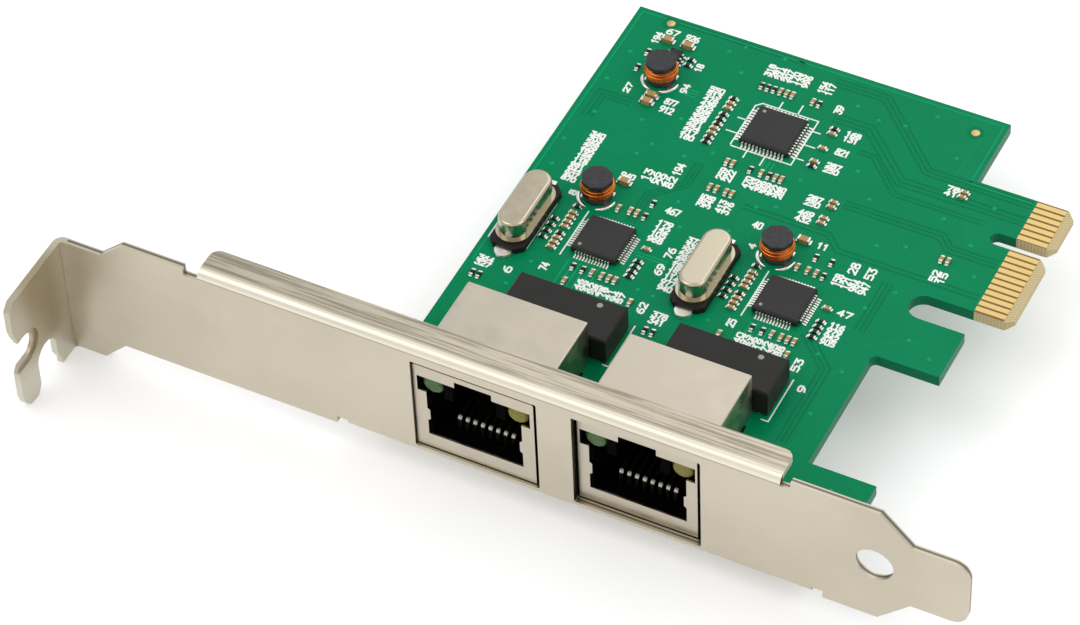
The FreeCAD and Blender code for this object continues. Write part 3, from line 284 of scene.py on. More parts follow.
@dataclass(frozen=True)
class NickelSheet:
    """Rolled steel sheet with a warm satin nickel plate.

    The pairs are runs in millimetres: along X for openings and flange_run, along Z for
    tab_rise, and along Y for the others.
    """

    name: str = "nickel_sheet"
    tone: Tone = (208, 200, 182)
    shade: Tone = (196, 187, 169)
    # The next six tones are painted light and shade: drawn streaks with a darker reflection, a bend
    # highlight, the tab's reflection, and shade on the crease, fold, walls and cut edges.
    streak_and_shade: Tone = (150, 140, 122)
    crown_highlight_tone: Tone = (238, 232, 213)
    tab_shade_tone: Tone = (172, 160, 134)
    arm_lit_tone: Tone = (204, 199, 184)
    fold_shade_tone: Tone = (136, 126, 102)
    wall_and_edge_shade: Tone = (56, 49, 38)
    rough: Pair = (0.32, 0.44)
    flange_top: float = 18.38
    flange_start: Pair = (1.1, 1.7)
    flange_run: Pair = (20.0, 96.5)
    bend_start: float = 17.42
    bend_rise: float = 0.2
    crown_end: float = 1.15
    crease: Pair = (-0.14, 0.04)
    tab_rise: Pair = (1.0, 4.5)
    tab_tip: Pair = (-11.0, -7.0)
    tab_root: Pair = (-4.0, 0.4)
    tab_end: float = 1.6
    fold_end: float = 3.0
    openings: Pair = (40.0, 100.0)
    wall_shade: Pair = (0.06, 0.82)
    edge_shade_band: Pair = (0.34, 0.66)

    def material(self) -> Material:
        """Make the plate: rolling grain, soft clouds, a faint orange peel, and painted highlight
        and shade.

        Returns:
            The material.
        """
        g = Graph(self.name)
        x, y, z = g.axes()
        facing_x, facing_y, _ = g.facing()
        grain = g.noise((60.0, 60.0, 2600.0), 4.0)
        cloud = g.noise(35.0, 4.0, 0.6)
        drawn = g.noise((60.0, 2300.0, 60.0), 4.0, 0.65)
        plate = g.mix(g.fade(cloud, 0.3, 0.7), self.shade, self.tone)
        # Flange face: drawn streaks, deepened into a painted darker reflection.
        flange = g.times(g.above(z, self.flange_top), g.fade(y, *self.flange_start))
        plate = g.mix(g.times(flange, g.fade(drawn, 0.42, 0.62), 0.9), plate, self.streak_and_shade)
        # Flange bend: a painted highlight over its crown.
        bend_light_mask = g.times(g.band(x, *self.flange_run), g.below(y, self.crown_end))
        crown_highlight = g.times(bend_light_mask, g.fade(z, self.bend_start, self.bend_start + self.bend_rise))
        plate = g.mix(g.times(crown_highlight, 0.85), plate, self.crown_highlight_tone)
        # A thin line of painted shade where the bend starts.
        crease = g.times(bend_light_mask, g.band(z, *(self.bend_start + rise for rise in self.crease)))
        plate = g.mix(g.times(crease, 0.6), plate, self.streak_and_shade)
        # Tab: painted shade for its darker reflection, deepest high up, lighter towards its tip.
        tab_shade = g.mix(g.fade(z, *self.tab_rise), self.arm_lit_tone, self.tab_shade_tone)
        tab_shade = g.mix(g.fade(y, *self.tab_tip, 0.5, 0.0), tab_shade, self.arm_lit_tone)
        plate = g.mix(g.fade(y, *self.tab_root, 1.0, 0.0), plate, tab_shade)
        # Inner fold between tab and face: painted shade that tones down its highlight.
        fold_shade = g.times(g.fade(g.times(facing_x, facing_y), 0.1, 0.3), g.below(x, self.fold_end))
        plate = g.mix(g.times(fold_shade, 0.75), plate, self.fold_shade_tone)
        # Walls facing X in the openings, and a middle band along the cut edges: painted shade.
        wall_shade = g.times(g.above(facing_x, 0.6), g.band(y, *self.wall_shade), g.band(x, *self.openings))
        cut = g.times(g.below(facing_y, 0.3), g.band(y, *self.edge_shade_band), g.above(x, self.tab_end), 0.72)
        plate = g.mix(g.math("MAXIMUM", wall_shade, cut), plate, self.wall_and_edge_shade)
        worn = g.math("ADD", g.times(grain, 0.5), g.times(cloud, 0.5))
        g.give(Metallic=0.92, Base_Color=plate, Roughness=g.fade(worn, 0.3, 0.7, *self.rough))
        g.bump(g.math("ADD", grain, g.noise(900.0)), 0.06, 0.01)
        return g.material


@dataclass(frozen=True)
class SolderMask:
    """Glossy green mask over etched copper, with bare glass-epoxy at the edges.

    mask_end, finger and pads bound the bare edge along X, Y and X.
    """

    name: str = "solder_mask"
    copper_green: Tone = (0, 131, 84)
    gap_green: Tone = (0, 110, 69)
    cloud_green: Tone = (2, 141, 93)
    edge_green: Tone = (12, 112, 78)
    glass: Tone = (188, 170, 126)
    fibre: Tone = (206, 191, 150)
    between_pads: Tone = (138, 110, 62)
    mask_end: float = 103.0
    finger: Pair = (41.3, 62.1)
    pads: Pair = (103.0, 106.9)
    line_pitch: float = 0.42
    weave_pitch: float = 0.45
    side_in: float = 0.04
    face_in: float = 0.03

    def stripes(self, g: Graph, turn: float) -> Socket:
        """Return fine lines at a turn about Z: a wave of one coordinate, cut off sharply."""
        return g.fade(g.wave(g.axes(turn)[0], self.line_pitch), 0.0, 0.7)

    def material(self) -> Material:
        """Make the mask: line fields that turn from zone to zone, and bare cut edges.

        Returns:
            The material.
        """
        g = Graph(self.name)
        x, y, z = g.axes()
        zone = g.noise((34.0, 34.0, 1.0), 0.0)
        upright = g.times(self.stripes(g, 0.0), g.fade(zone, 0.55, 0.56, 1.0, 0.0))
        slanted = g.times(self.stripes(g, 45.0), g.band(zone, 0.56, 0.61))
        level = g.times(self.stripes(g, 90.0), g.fade(zone, 0.61, 0.62))
        lines = g.math("MAXIMUM", g.math("MAXIMUM", upright, slanted), level)
        mask = g.mix(g.times(lines, 0.5), self.copper_green, self.gap_green)
        mask = g.mix(g.fade(g.noise(160.0), 0.3, 0.75, 0.0, 0.2), mask, self.cloud_green)
        side = g.band(z, BOTTOM + self.side_in, TOP - self.side_in)
        mask = g.mix(side, mask, self.edge_green)
        weave = g.times(g.wave(x, self.weave_pitch), g.wave(y, self.weave_pitch))
        glass = g.mix(g.fade(weave, -0.6, 0.6), self.glass, self.fibre)
        face = g.math("MAXIMUM", g.above(z, TOP - self.face_in), g.below(z, BOTTOM + self.face_in))
        glass = g.mix(g.times(face, g.band(x, *self.pads)), glass, self.between_pads)
        bare = g.times(g.above(x, self.mask_end), g.band(y, *self.finger))
        g.give(Base_Color=g.mix(bare, mask, glass), Specular_IOR_Level=0.06,
               Roughness=g.math("ADD", g.times(bare, 0.3), 0.28))
        g.bump(g.times(lines, g.math("SUBTRACT", 1.0, bare)), 0.2, 0.02)
        return g.material


@dataclass(frozen=True)
class PlainMetal:
    """A metal, bare or with a plate, with a little grain; its side walls near Y 0 can take a
    near-black painted shade.
    """

    name: str
    tone: Tone
    rough: float = 0.22
    grain: float = 0.08
    variation: float = 0.12
    shaded_to: float = 0.0
    gap_shade: Tone = (30, 26, 20)

    def material(self) -> Material:
        """Make the metal: cloudy brightness, uneven gloss and a fine bump.

        Returns:
            The material.
        """
        g = Graph(self.name)
        cloud = g.noise(350.0, 4.0)
        plate = g.mix(g.fade(cloud, 0.3, 0.7), toned(self.tone, 1.0 - self.variation), self.tone)
        # Painted shade: near black on the side walls near Y 0, seen through the gap at the bracket.
        if self.shaded_to:
            near = g.fade(g.axes()[1], self.shaded_to, self.shaded_to + 0.6, 1.0, 0.0)
            plate = g.mix(g.times(g.above(g.facing()[0], 0.15), near), plate, self.gap_shade)
        gloss = g.fade(cloud, 0.3, 0.7, self.rough * 0.8, self.rough * 1.3)
        g.give(Metallic=1.0, Base_Color=plate, Roughness=gloss)
        g.bump(g.noise(1800.0, 2.0), self.grain, 0.01)
        return g.material


@dataclass(frozen=True)
class SpringGold:
    """Contact springs: gold, painted near white as a highlight on the noses, painted shade behind.

    The colour fades into painted shade along Y over a run behind the noses, and along Z
    below nose. Beyond the X between the jacks that run stands set_back further.
    """

    name: str = "spring_gold"
    # Near white: gold with a painted highlight.
    tone: Tone = (255, 252, 240)
    worn: Tone = (246, 226, 184)
    deep_shade: Tone = (20, 16, 10)
    plated: Pair = (3.35, 3.65)
    nose: Pair = (4.5, 4.75)
    between: float = 67.0
    set_back: float = 0.55

    def material(self) -> Material:
        """Make the springs: painted shade begins a little below and behind the noses.

        Returns:
            The material.
        """
        g = Graph(self.name)
        x, y, z = g.axes()
        # Painted shade behind and below the noses, set further back beyond the jacks' middle.
        sunk = g.times(g.above(x, self.between), self.set_back)
        behind = g.fade(g.math("SUBTRACT", y, sunk), *self.plated)
        depth = g.math("MAXIMUM", behind, g.fade(z, *self.nose, 1.0, 0.0))
        cloud = g.noise(700.0, 2.0)
        # The near-white tone paints a highlight on the gold.
        plate = g.mix(g.times(cloud, 0.2), self.tone, self.worn)
        g.give(Metallic=0.3, Specular_IOR_Level=0.6, Base_Color=g.mix(depth, plate, self.deep_shade),
               Roughness=g.fade(cloud, 0.3, 0.7, 0.2, 0.34))
        return g.material


@dataclass(frozen=True)
class Moulded:
    """Moulded or fired material: a dull body colour with fine speckle."""

    name: str
    tone: Tone
    rough: float = 0.5
    speckle: float = 0.15
    scale: float = 5200.0
    depth: float = 0.25
    gloss: float = 0.2

    def material(self) -> Material:
        """Make the moulding: fine speckle in colour and height, and clouds in gloss.

        Returns:
            The material.
        """
        g = Graph(self.name)
        fine = g.noise(self.scale)
        light = toned(self.tone, 1.0 + self.speckle, 2)
        gloss = g.fade(g.noise(220.0), 0.3, 0.7, self.rough * 0.88, self.rough * 1.12)
        g.give(Specular_IOR_Level=self.gloss, Roughness=gloss,
               Base_Color=g.mix(g.fade(fine, 0.4, 0.7), self.tone, light))
        g.bump(fine, self.depth, 0.012)
        return g.material


@dataclass(frozen=True)
class LampPlastic:
    """Tinted clear plastic of an indicator lamp."""

    name: str
    tone: Tone

    def material(self) -> Material:
        """Make the lens: light spreads a little under its tint.

        Returns:
            The material.
        """
        g = Graph(self.name)
        cloud = g.noise(700.0, 2.0)
        g.give(IOR=1.49, Specular_IOR_Level=0.3, Coat_Weight=0.1, Coat_Roughness=0.2,
               Subsurface_Weight=0.2, Subsurface_Radius=(0.002, 0.002, 0.001),
               Base_Color=g.mix(cloud, toned(self.tone, 0.75), self.tone),
               Roughness=g.fade(cloud, 0.3, 0.7, 0.2, 0.35))
        return g.material


class Finish(Enum):
    """Every finish on the card."""

    SHEET = NickelSheet()
    MASK = SolderMask()
    # The shield's last value sets where painted shade on its side walls starts to fade.
    SHIELD = PlainMetal("shield_tin", (202, 193, 177), 0.34, 0.03, 0.03, 2.0)
    TIN = PlainMetal("tin_lead", (236, 233, 226), 0.26, 0.15)
    SOLDER = PlainMetal("solder", (244, 243, 239), 0.26, 0.2)
    GOLD = PlainMetal("contact_gold", (216, 189, 127), 0.34, 0.08, 0.1)
    SPRING = SpringGold()
    CAN = PlainMetal("crystal_can", (196, 187, 164), 0.2, 0.01, 0.03)
    COPPER = PlainMetal("enamelled_copper", (238, 132, 58), 0.26, 0.1, 0.25)
    PACKAGE = Moulded("package_black", (46, 46, 47), 0.42, 0.06, 5200.0, 0.12)
    MAGNETICS = Moulded("magnetics_black", (38, 37, 36), 0.5, 0.12, 3600.0)
    HOUSING = Moulded("housing_black", (4, 4, 4), 0.6, 0.2, 2600.0, 0.1, 0.01)
    FERRITE = Moulded("ferrite", (46, 46, 50), 0.45, 0.2, 3000.0, 0.25, 0.3)
    BASE = Moulded("crystal_base", (30, 28, 26), 0.5, 0.2)
    INK = Moulded("legend_ink", (240, 243, 238), 0.6, 0.0, 4200.0, 0.1)
    CHIP_TAN = Moulded("capacitor_ceramic", (166, 136, 88), 0.45, 0.12)
    CHIP_BLACK = Moulded("resistor_glaze", (30, 28, 30), 0.35, 0.1)
    DOT = Moulded("mark_grey", (150, 148, 142), 0.6, 0.1)
    TRACE_DARK = Moulded("masked_gap", (0, 114, 72), 0.35, 0.05, 3000.0, 0.05, 0.06)
    TRACE_LIGHT = Moulded("masked_copper", (6, 150, 100), 0.35, 0.05, 3000.0, 0.05, 0.08)
    LAMP_GREEN = LampPlastic("lamp_green", (70, 108, 50))
    LAMP_YELLOW = LampPlastic("lamp_yellow", (138, 130, 30))


@cache
def material_of(finish: Finish) -> Material:
    """Return a finish's material, made the first time."""
    return finish.value.material()


# ---- meshes


def stand(name: str, data: bpy.types.ID) -> bpy.types.Object:
    """Stand a mesh, a lamp or a camera in the scene.

    Args:
        name: the object's name.
        data: what it shows.

    Returns:
        The object.
    """
    item = bpy.data.objects.new(name, data)
    bpy.context.scene.collection.objects.link(item)
    return item


@dataclass
class Surface:
    """Vertices in millimetres and faces, gathered from several grids.

    Points closer than weld are merged, and edges sharper than crease degrees stay sharp.
    """

    points: list[np.ndarray] = field(default_factory=list)
    faces: list[np.ndarray] = field(default_factory=list)
    count: int = 0
    poles: bool = False
    weld: float = 0.0001
    crease: float = 38.0

    def add(self, points: np.ndarray, faces: np.ndarray) -> None:
        """Add vertices with the quads that index them.

        Args:
            points: three coordinates each.
            faces: four indices each, counted from the first of these points.
        """
        self.points.append(points.reshape(-1, 3))
        self.faces.append(faces.reshape(-1, 4) + self.count)
        self.count += len(self.points[-1])

    def grid(self, points: np.ndarray) -> None:
        """Add a grid of points as quads, its last column joined to its first.

        Args:
            points: an array of rows, columns and three coordinates.
        """
        rows, columns = points.shape[:2]
        a, b = np.meshgrid(np.arange(rows - 1), np.arange(columns), indexing="ij")
        c, d = a + 1, (b + 1) % columns
        quads = np.stack([a * columns + b, a * columns + d, c * columns + d, c * columns + b], -1)
        self.poles = True
        self.add(points, quads)

    def piece(self, name: str, finish: Finish, slot: str, stands_for: str = "",
              smooth: bool = True) -> None:
        """Make the gathered surface an object that rides on the card.

        Args:
            name: the object's name.
            finish: its finish.
            slot: the record's material slot; not used.
            stands_for: the CAD node that it replaces, if any.
            smooth: shades it smooth, with sharp edges kept.
        """
        mesh = bpy.data.meshes.new(name)
        points = np.concatenate(self.points) * MM
        mesh.from_pydata(points.tolist(), [], np.concatenate(self.faces).tolist())
        mesh.update()
        if self.poles:
            shell = bmesh.new()
            shell.from_mesh(mesh)
            bmesh.ops.remove_doubles(shell, verts=shell.verts, dist=self.weld * MM)
            shell.to_mesh(mesh)
            shell.free()
        item = stand(name, mesh)
        mesh.materials.append(material_of(finish))
        if smooth:
            mesh.shade_smooth()
            mesh.set_sharp_from_angle(angle=math.radians(self.crease))
        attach(item, BODY)
        if stands_for:
            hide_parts(stands_for)
        LOG.info("%s: %d faces", name, len(mesh.polygons))


def prisms(surface: Surface, starts: np.ndarray, ends: np.ndarray, width: float,
           low: float, high: float) -> None:
    """Add flat bars between pairs of points on the board.

    Each bar is a box: its middle line runs from start to end, lengthened by half its
    width at both ends, and its corners stand half a width to either side. Neighbours
    differ a little in height, so that no two tops share a plane where they overlap.

    Args:
        surface: where the bars go.
        starts: first ends, two coordinates each.
        ends: second ends.
        width: a bar's width.
        low: its underside's Z.
        high: its top's Z.
    """
    along = ends - starts
    length = np.linalg.norm(along, axis=1, keepdims=True)
    along = along / np.maximum(length, 1e-9) * width / 2
    across = np.stack([-along[:, 1], along[:, 0]], 1)
    corners = np.stack([starts - along - across, ends + along - across,
                        ends + along + across, starts - along + across], 1)
    flat = np.concatenate([corners, corners], 1)
    level = np.broadcast_to(np.repeat([low, high], 4), flat.shape[:2]).copy()
    level[:, 4:] += STAGGER * (np.arange(len(starts)) % 4)[:, None]
    points = np.concatenate([flat, level[..., None]], 2)
    box = np.array([[3, 2, 1, 0], [4, 5, 6, 7], [0, 1, 5, 4], [1, 2, 6, 5], [2, 3, 7, 6],
                    [3, 0, 4, 7]])
    quads = box[None] + 8 * np.arange(len(starts))[:, None, None]
    surface.add(points, quads)


def around(sides: int) -> np.ndarray:
    """Return evenly spaced angles round a circle."""
    return np.linspace(0.0, 2 * np.pi, sides, endpoint=False)


def polar(centre: Sequence[float], reach: np.ndarray, angle: np.ndarray,
          level: np.ndarray) -> np.ndarray:
    """Return points that stand at a reach and an angle round an upright axis.

    X is the centre's plus the reach times the angle's cosine, Y the same with its sine.

    Args:
        centre: the axis, its first two coordinates.
        reach: distances from the axis.
        angle: angles, in an array that fits the reach.
        level: Z, in an array that fits the reach.

    Returns:
        An array of rows, columns and three coordinates.
    """
    x = centre[0] + reach * np.cos(angle)
    y = centre[1] + reach * np.sin(angle)
    return np.stack([x, y, np.broadcast_to(level, x.shape)], -1)


def capped(rows: np.ndarray) -> np.ndarray:
    """Close a tube: a row at the mean of the end row's points is set before and after.

    Args:
        rows: an array of rows, columns and three coordinates.

    Returns:
        The array with two more rows.
    """
    middle = np.broadcast_to(rows.mean(1, keepdims=True), rows.shape)
    return np.concatenate([middle[:1], rows, middle[-1:]])


def domes(surface: Surface, centres: Spots, radius: float, low: float, high: float,
          sides: int = 16, hollow: float = 0.0) -> None:
    """Add low round discs with a softened rim.

    The profile runs from the rim's foot up the side, over a rounded shoulder and in to
    the middle, or to the hollow's radius; it is carried round a circle.

    Args:
        surface: where the discs go.
        centres: two coordinates each.
        radius: outer radius.
        low: the underside's Z.
        high: the top's Z.
        sides: points round the circle.
        hollow: inner radius of a ring, or zero.
    """
    inner = max(hollow, radius * 0.02)
    shoulder = low + (high - low) * 0.6
    reach = np.array([inner, radius, radius, radius * 0.93, inner, inner])
    level = np.array([low, low, shoulder, high, high, low])
    for centre in centres:
        surface.grid(polar(centre, reach[:, None], around(sides), level[:, None]))


def rounded_box(low: np.ndarray, high: np.ndarray, soft: float, rings: int = 3) -> np.ndarray:
    """Return a closed grid for a box with softened edges.

    A rounded rectangle in X and Y is carried up Z; near the bottom and the top it is
    drawn in along a quarter circle of the soft radius, and it ends in a point inside
    its flat faces.

    Args:
        low: lowest corner.
        high: highest corner.
        soft: edge radius.
        rings: steps in each quarter circle.

    Returns:
        An array of rows, columns and three coordinates; its columns wrap.
    """
    middle, core = (low + high) / 2, (high - low) / 2 - soft
    quarter = np.linspace(0.0, np.pi / 2, rings + 1)
    corner = np.concatenate([quarter + k * np.pi / 2 for k in range(4)])
    sign_x = np.repeat([1, -1, -1, 1], rings + 1)
    sign_y = np.repeat([1, 1, -1, -1], rings + 1)
    lift = np.concatenate([[-1.0], -np.cos(quarter), np.cos(quarter[::-1]), [1.0]])
    draw = np.concatenate([[0.0], np.sin(quarter), np.sin(quarter[::-1]), [0.0]])[:, None]
    side = np.repeat([-1, 1], rings + 2)
    flat = np.ones_like(draw)
    flat[0] = flat[-1] = 0.0
    x = middle[0] + flat * sign_x * core[0] + draw * soft * np.cos(corner)
    y = middle[1] + flat * sign_y * core[1] + draw * soft * np.sin(corner)
    z = middle[2] + side * core[2] + lift * soft
    return np.stack([x, y, np.broadcast_to(z[:, None], x.shape)], -1)


def islands(node: bpy.types.Object) -> tuple[np.ndarray, np.ndarray]:
    """Find the boxes of the separate solids in a CAD node.

    Vertices at one place share a label; each face then hands the least label among its
    corners to all of them until nothing changes.

    Args:
        node: the CAD node's object.

    Returns:
        The lowest and highest corners, in millimetres, one row per solid.
    """
    mesh = node.data
    points = np.empty(len(mesh.vertices) * 3)
    mesh.vertices.foreach_get("co", points)
    points = points.reshape(-1, 3) / MM
    mesh.calc_loop_triangles()
    corners = np.empty(len(mesh.loop_triangles) * 3, dtype=np.int64)
    mesh.loop_triangles.foreach_get("vertices", corners)
    _, same = np.unique(np.round(points, 3), axis=0, return_inverse=True)
    triangles = same.reshape(-1)[corners].reshape(-1, 3)
    label = np.arange(same.max() + 1)
    while True:
        least = label[triangles].min(1)
        following = label.copy()
        np.minimum.at(following, triangles.ravel(), np.repeat(least, 3))
        if np.array_equal(following, label):
            break
        label = following
    owner = label[same.reshape(-1)]
    names = np.unique(owner)
    low = np.array([points[owner == k].min(0) for k in names])
    high = np.array([points[owner == k].max(0) for k in names])
    return low, high


def dress(frame: dict, finish: Finish, *names: str) -> None:
    """Give CAD nodes a finish by their material slots.

    Args:
        finish: the finish.
        names: the nodes.
    """
    for name in names:
        mesh = frame["nodes"][name].data
        if not mesh.materials:
            mesh.materials.append(material_of(finish))
        for index in range(len(mesh.materials)):
            mesh.materials[index] = material_of(finish)
        LOG.info("%s: %s", name, finish.name)


@dataclass
class Part:
    frame: dict
    node: str

    def dress(self, **finishes: Finish) -> None:
        """Dress CAD nodes, named by the rest of their names."""
        for part, finish in finishes.items():
            dress(self.frame, finish, f"{self.node}_{part}")

    def box(self, part: str) -> ArrayPair:
        """Return a CAD node's lowest and highest corners in millimetres."""
        low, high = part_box(f"{self.node}_{part}")
        return np.array(low) / MM, np.array(high) / MM

    def piece(self, surface: Surface, name: str, finish: Finish, part: str,
              replaces: bool = False, smooth: bool = True) -> None:
        """Make a surface a piece of the sub-assembly.

        Args:
            surface: the surface.
            name: the rest of the piece's name.
            finish: its finish.
            part: the rest of the CAD node's name that it goes with.
            replaces: takes that node's place.
            smooth: shades it smooth.
        """
        node = f"{self.node}_{part}"
        surface.piece(f"{self.node}_{name}", finish, node, node if replaces else "", smooth)

    def dot(self, spot: np.ndarray, radius: float, drop: Pair, sides: int) -> None:
        """Print the first-pin dot in the body's dimple.

        Args:
            spot: its middle.
            radius: its radius.
            drop: how far its two faces lie under the body's top.
            sides: points round it.
        """
        surface = Surface()
        top = self.box("body")[1][2]
        domes(surface, [spot], radius, top - drop[0], top - drop[1], sides)
        self.piece(surface, "dot", Finish.DOT, "body")


# ---- legend

STROKES: dict[str, tuple[Pair, ...]] = {
    "0": ((.12, 0), (0, .15), (0, .85), (.12, 1), (.48, 1), (.6, .85), (.6, .15), (.48, 0),
          (.12, 0)),
    "1": ((.1, .8), (.32, 1), (.32, 0)),
    "2": ((0, .82), (.12, 1), (.48, 1), (.6, .85), (.6, .62), (0, 0), (.6, 0)),
    "3": ((0, 1), (.6, 1), (.28, .6), (.5, .56), (.6, .4), (.6, .15), (.45, 0), (.12, 0),
          (0, .15)),
    "4": ((.45, 0), (.45, 1), (0, .3), (.6, .3)),
    "5": ((.58, 1), (0, 1), (0, .56), (.45, .6), (.6, .45), (.6, .15), (.45, 0), (0, .03)),
    "6": ((.5, 1), (.2, .85), (0, .5), (0, .15), (.15, 0), (.45, 0), (.6, .15), (.6, .4),
          (.45, .55), (0, .48)),
    "7": ((0, 1), (.6, 1), (.22, 0)),
    "8": ((.3, .54), (.05, .7), (.05, .9), (.15, 1), (.45, 1), (.55, .9), (.55, .7),
          (.3, .54), (0, .36), (0, .12), (.12, 0), (.48, 0), (.6, .12), (.6, .36), (.3, .54)),
    "9": ((.1, 0), (.4, .15), (.6, .5), (.6, .85), (.45, 1), (.15, 1), (0, .85), (0, .6),
          (.15, .45), (.6, .52)),
}


class Reading(Enum):
    """Which way a printed number reads."""

    LEVEL = 0
    UPRIGHT = 90


@dataclass(frozen=True)
class Label:
    """A block of like printed numbers.

    They fill the box from left to right and low to high. count is how many stand side
    by side, digits how many figures each has, and first is where their values start.
    """

    reading: Reading
    left: float
    right: float
    low: float
    high: float
    count: int
    digits: int
    first: int


LABELS: dict[Reading, tuple[tuple[float, ...], ...]] = {
    Reading.UPRIGHT: (
        (63.0, 69.0, 67.9, 70.1, 7, 3, 128), (70.3, 72.3, 67.9, 70.0, 2, 3, 131),
        (73.9, 74.8, 65.4, 66.9, 1, 2, 17), (65.1, 67.2, 48.9, 51.0, 2, 3, 146),
        (68.6, 74.1, 48.9, 50.9, 6, 3, 155), (64.9, 66.8, 43.7, 45.9, 2, 3, 164),
        (67.4, 69.3, 43.7, 45.9, 2, 3, 168), (56.7, 61.1, 44.9, 47.0, 4, 2, 36),
        (60.1, 61.1, 47.3, 49.4, 1, 3, 142), (65.3, 66.2, 34.1, 36.0, 1, 2, 48),
        (65.3, 66.2, 31.1, 33.0, 1, 2, 47), (85.3, 90.0, 38.5, 40.5, 4, 3, 121),
        (86.6, 87.6, 41.1, 43.1, 1, 2, 54), (88.8, 89.8, 41.1, 43.1, 1, 2, 19),
        (57.4, 63.9, 24.9, 26.7, 8, 2, 71), (78.6, 84.9, 25.1, 26.9, 7, 2, 24),
        (48.4, 49.4, 23.8, 25.0, 1, 1, 2), (52.3, 53.2, 26.0, 27.3, 1, 2, 22),
        (76.9, 77.8, 27.1, 28.4, 1, 2, 15), (47.6, 48.4, 67.3, 69.4, 1, 3, 142),
        (54.8, 55.6, 64.9, 66.3, 1, 2, 14), (54.8, 55.6, 60.7, 62.4, 1, 2, 12),
        (48.2, 48.9, 57.8, 59.7, 1, 2, 41), (50.0, 50.8, 38.9, 39.8, 1, 1, 1),
        (73.9, 74.7, 39.9, 40.8, 1, 1, 3), (95.8, 97.8, 44.1, 46.1, 2, 2, 65),
        (66.1, 67.0, 24.5, 26.4, 1, 2, 46), (86.9, 87.8, 23.8, 26.0, 1, 2, 19),
        (89.0, 89.9, 21.1, 22.3, 1, 1, 5),
    ),
    Reading.LEVEL: (
        (58.1, 60.1, 53.4, 63.4, 11, 3, 140), (76.9, 78.9, 61.4, 63.3, 2, 3, 133),
        (77.0, 78.8, 58.8, 59.8, 1, 3, 103), (76.9, 78.9, 55.5, 57.3, 2, 3, 150),
        (77.1, 79.1, 49.4, 51.3, 2, 3, 150), (77.1, 79.1, 46.5, 48.6, 2, 3, 176),
        (48.0, 49.9, 40.8, 50.0, 11, 3, 110), (62.2, 64.1, 40.9, 41.9, 1, 3, 181),
        (62.2, 64.2, 35.8, 39.7, 4, 3, 124), (66.8, 68.7, 29.0, 38.6, 10, 3, 120),
        (81.5, 83.0, 43.3, 44.2, 1, 2, 13), (88.3, 90.3, 34.2, 35.1, 1, 2, 31),
        (88.3, 90.2, 29.2, 33.0, 4, 3, 115), (44.8, 46.9, 23.5, 25.3, 2, 3, 161),
        (68.2, 70.2, 23.6, 25.7, 2, 3, 163), (48.7, 50.5, 69.5, 70.4, 1, 2, 21),
        (51.4, 53.2, 69.5, 70.4, 1, 3, 118), (53.9, 55.6, 58.0, 58.9, 1, 3, 111),
        (53.9, 55.7, 56.5, 57.5, 1, 3, 116), (72.9, 74.2, 43.2, 44.2, 1, 2, 30),
        (54.5, 56.4, 44.2, 45.0, 1, 3, 120), (92.0, 93.7, 58.1, 59.9, 2, 2, 43),
    ),
}


@dataclass
class Legend:
    """White print on the board: plain numbers and outlines.

    packing and lone are a figure's share of its line among others and alone, spread its
    share of its cell, and glyph the width of the figures in the table of strokes.
    """

    ink: float = 0.022
    stroke: float = 0.23
    rule: float = 0.18
    packing: float = 0.78
    lone: float = 0.98
    spread: float = 0.72
    glyph: float = 0.6
    lines: Sequence[tuple[float, float, float, float]] = (
        (67.1, 15.1, 67.1, 22.3), (66.3, 15.1, 67.1, 15.1), (87.95, 15.2, 87.95, 22.4),
        (87.1, 15.2, 87.95, 15.2), (64.5, 54.75, 72.85, 54.75), (72.85, 54.75, 72.85, 63.1),
        (72.85, 63.1, 65.2, 63.1), (65.2, 63.1, 64.5, 62.4), (64.5, 62.4, 64.5, 54.75),
        (67.4, 63.1, 67.4, 64.3), (69.95, 63.1, 69.95, 64.8), (72.9, 61.2, 73.9, 61.2),
        (72.9, 58.65, 74.3, 58.65), (72.9, 56.1, 73.9, 56.1), (66.9, 54.7, 66.9, 53.5),
        (69.35, 54.7, 69.35, 53.1), (64.5, 59.6, 63.4, 59.6), (64.5, 57.0, 63.0, 57.0),
        (49.45, 28.3, 49.45, 36.6), (73.6, 28.5, 73.6, 37.9), (44.3, 28.2, 44.3, 37.4),
        (68.9, 28.4, 68.9, 37.6), (53.6, 37.1, 53.6, 29.2), (77.9, 37.2, 77.9, 29.3),
    )

    def figures(self, label: Label) -> ArrayPair:
        """Lay out one block of numbers.

        Each figure's strokes are scaled to its cell, turned a quarter where the block
        reads upright, and moved to the cell's corner. The numbers are a run of remainders
        that means nothing.

        Args:
            label: the block.

        Returns:
            Start and end points of every stroke.
        """
        starts, ends = [], []
        upright = label.reading is Reading.UPRIGHT
        wide, high = label.right - label.left, label.high - label.low
        run, rise = (high, wide) if upright else (wide, high)
        line, advance = rise / label.count, run / label.digits
        tall = line * (self.packing if label.count > 1 else self.lone)
        least = 10 ** (label.digits - 1)
        for index in range(label.count):
            text = str(least + (label.first * 7 + index * 37) % (9 * least))
            for place, figure in enumerate(text):
                pen = np.array(STROKES[figure])
                x = pen[:, 0] / self.glyph * advance * self.spread + place * advance
                y = pen[:, 1] * tall + index * line
                if upright:
                    spot = np.stack([label.right - y, label.low + x], 1)
                else:
                    spot = np.stack([label.left + x, label.low + y], 1)
                starts.append(spot[:-1])
                ends.append(spot[1:])
        return np.concatenate(starts), np.concatenate(ends)

    def build(self) -> None:
        """Print every block and outline."""
        ink = Surface()
        low, high = TOP - SINK, TOP + self.ink
        for reading, rows in LABELS.items():
            for row in rows:
                prisms(ink, *self.figures(Label(reading, *row)), self.stroke, low, high)
        ruled = np.array(self.lines)
        prisms(ink, ruled[:, :2], ruled[:, 2:], self.rule, low, high)
        ink.piece("board_legend", Finish.INK, "circuit_board", smooth=False)


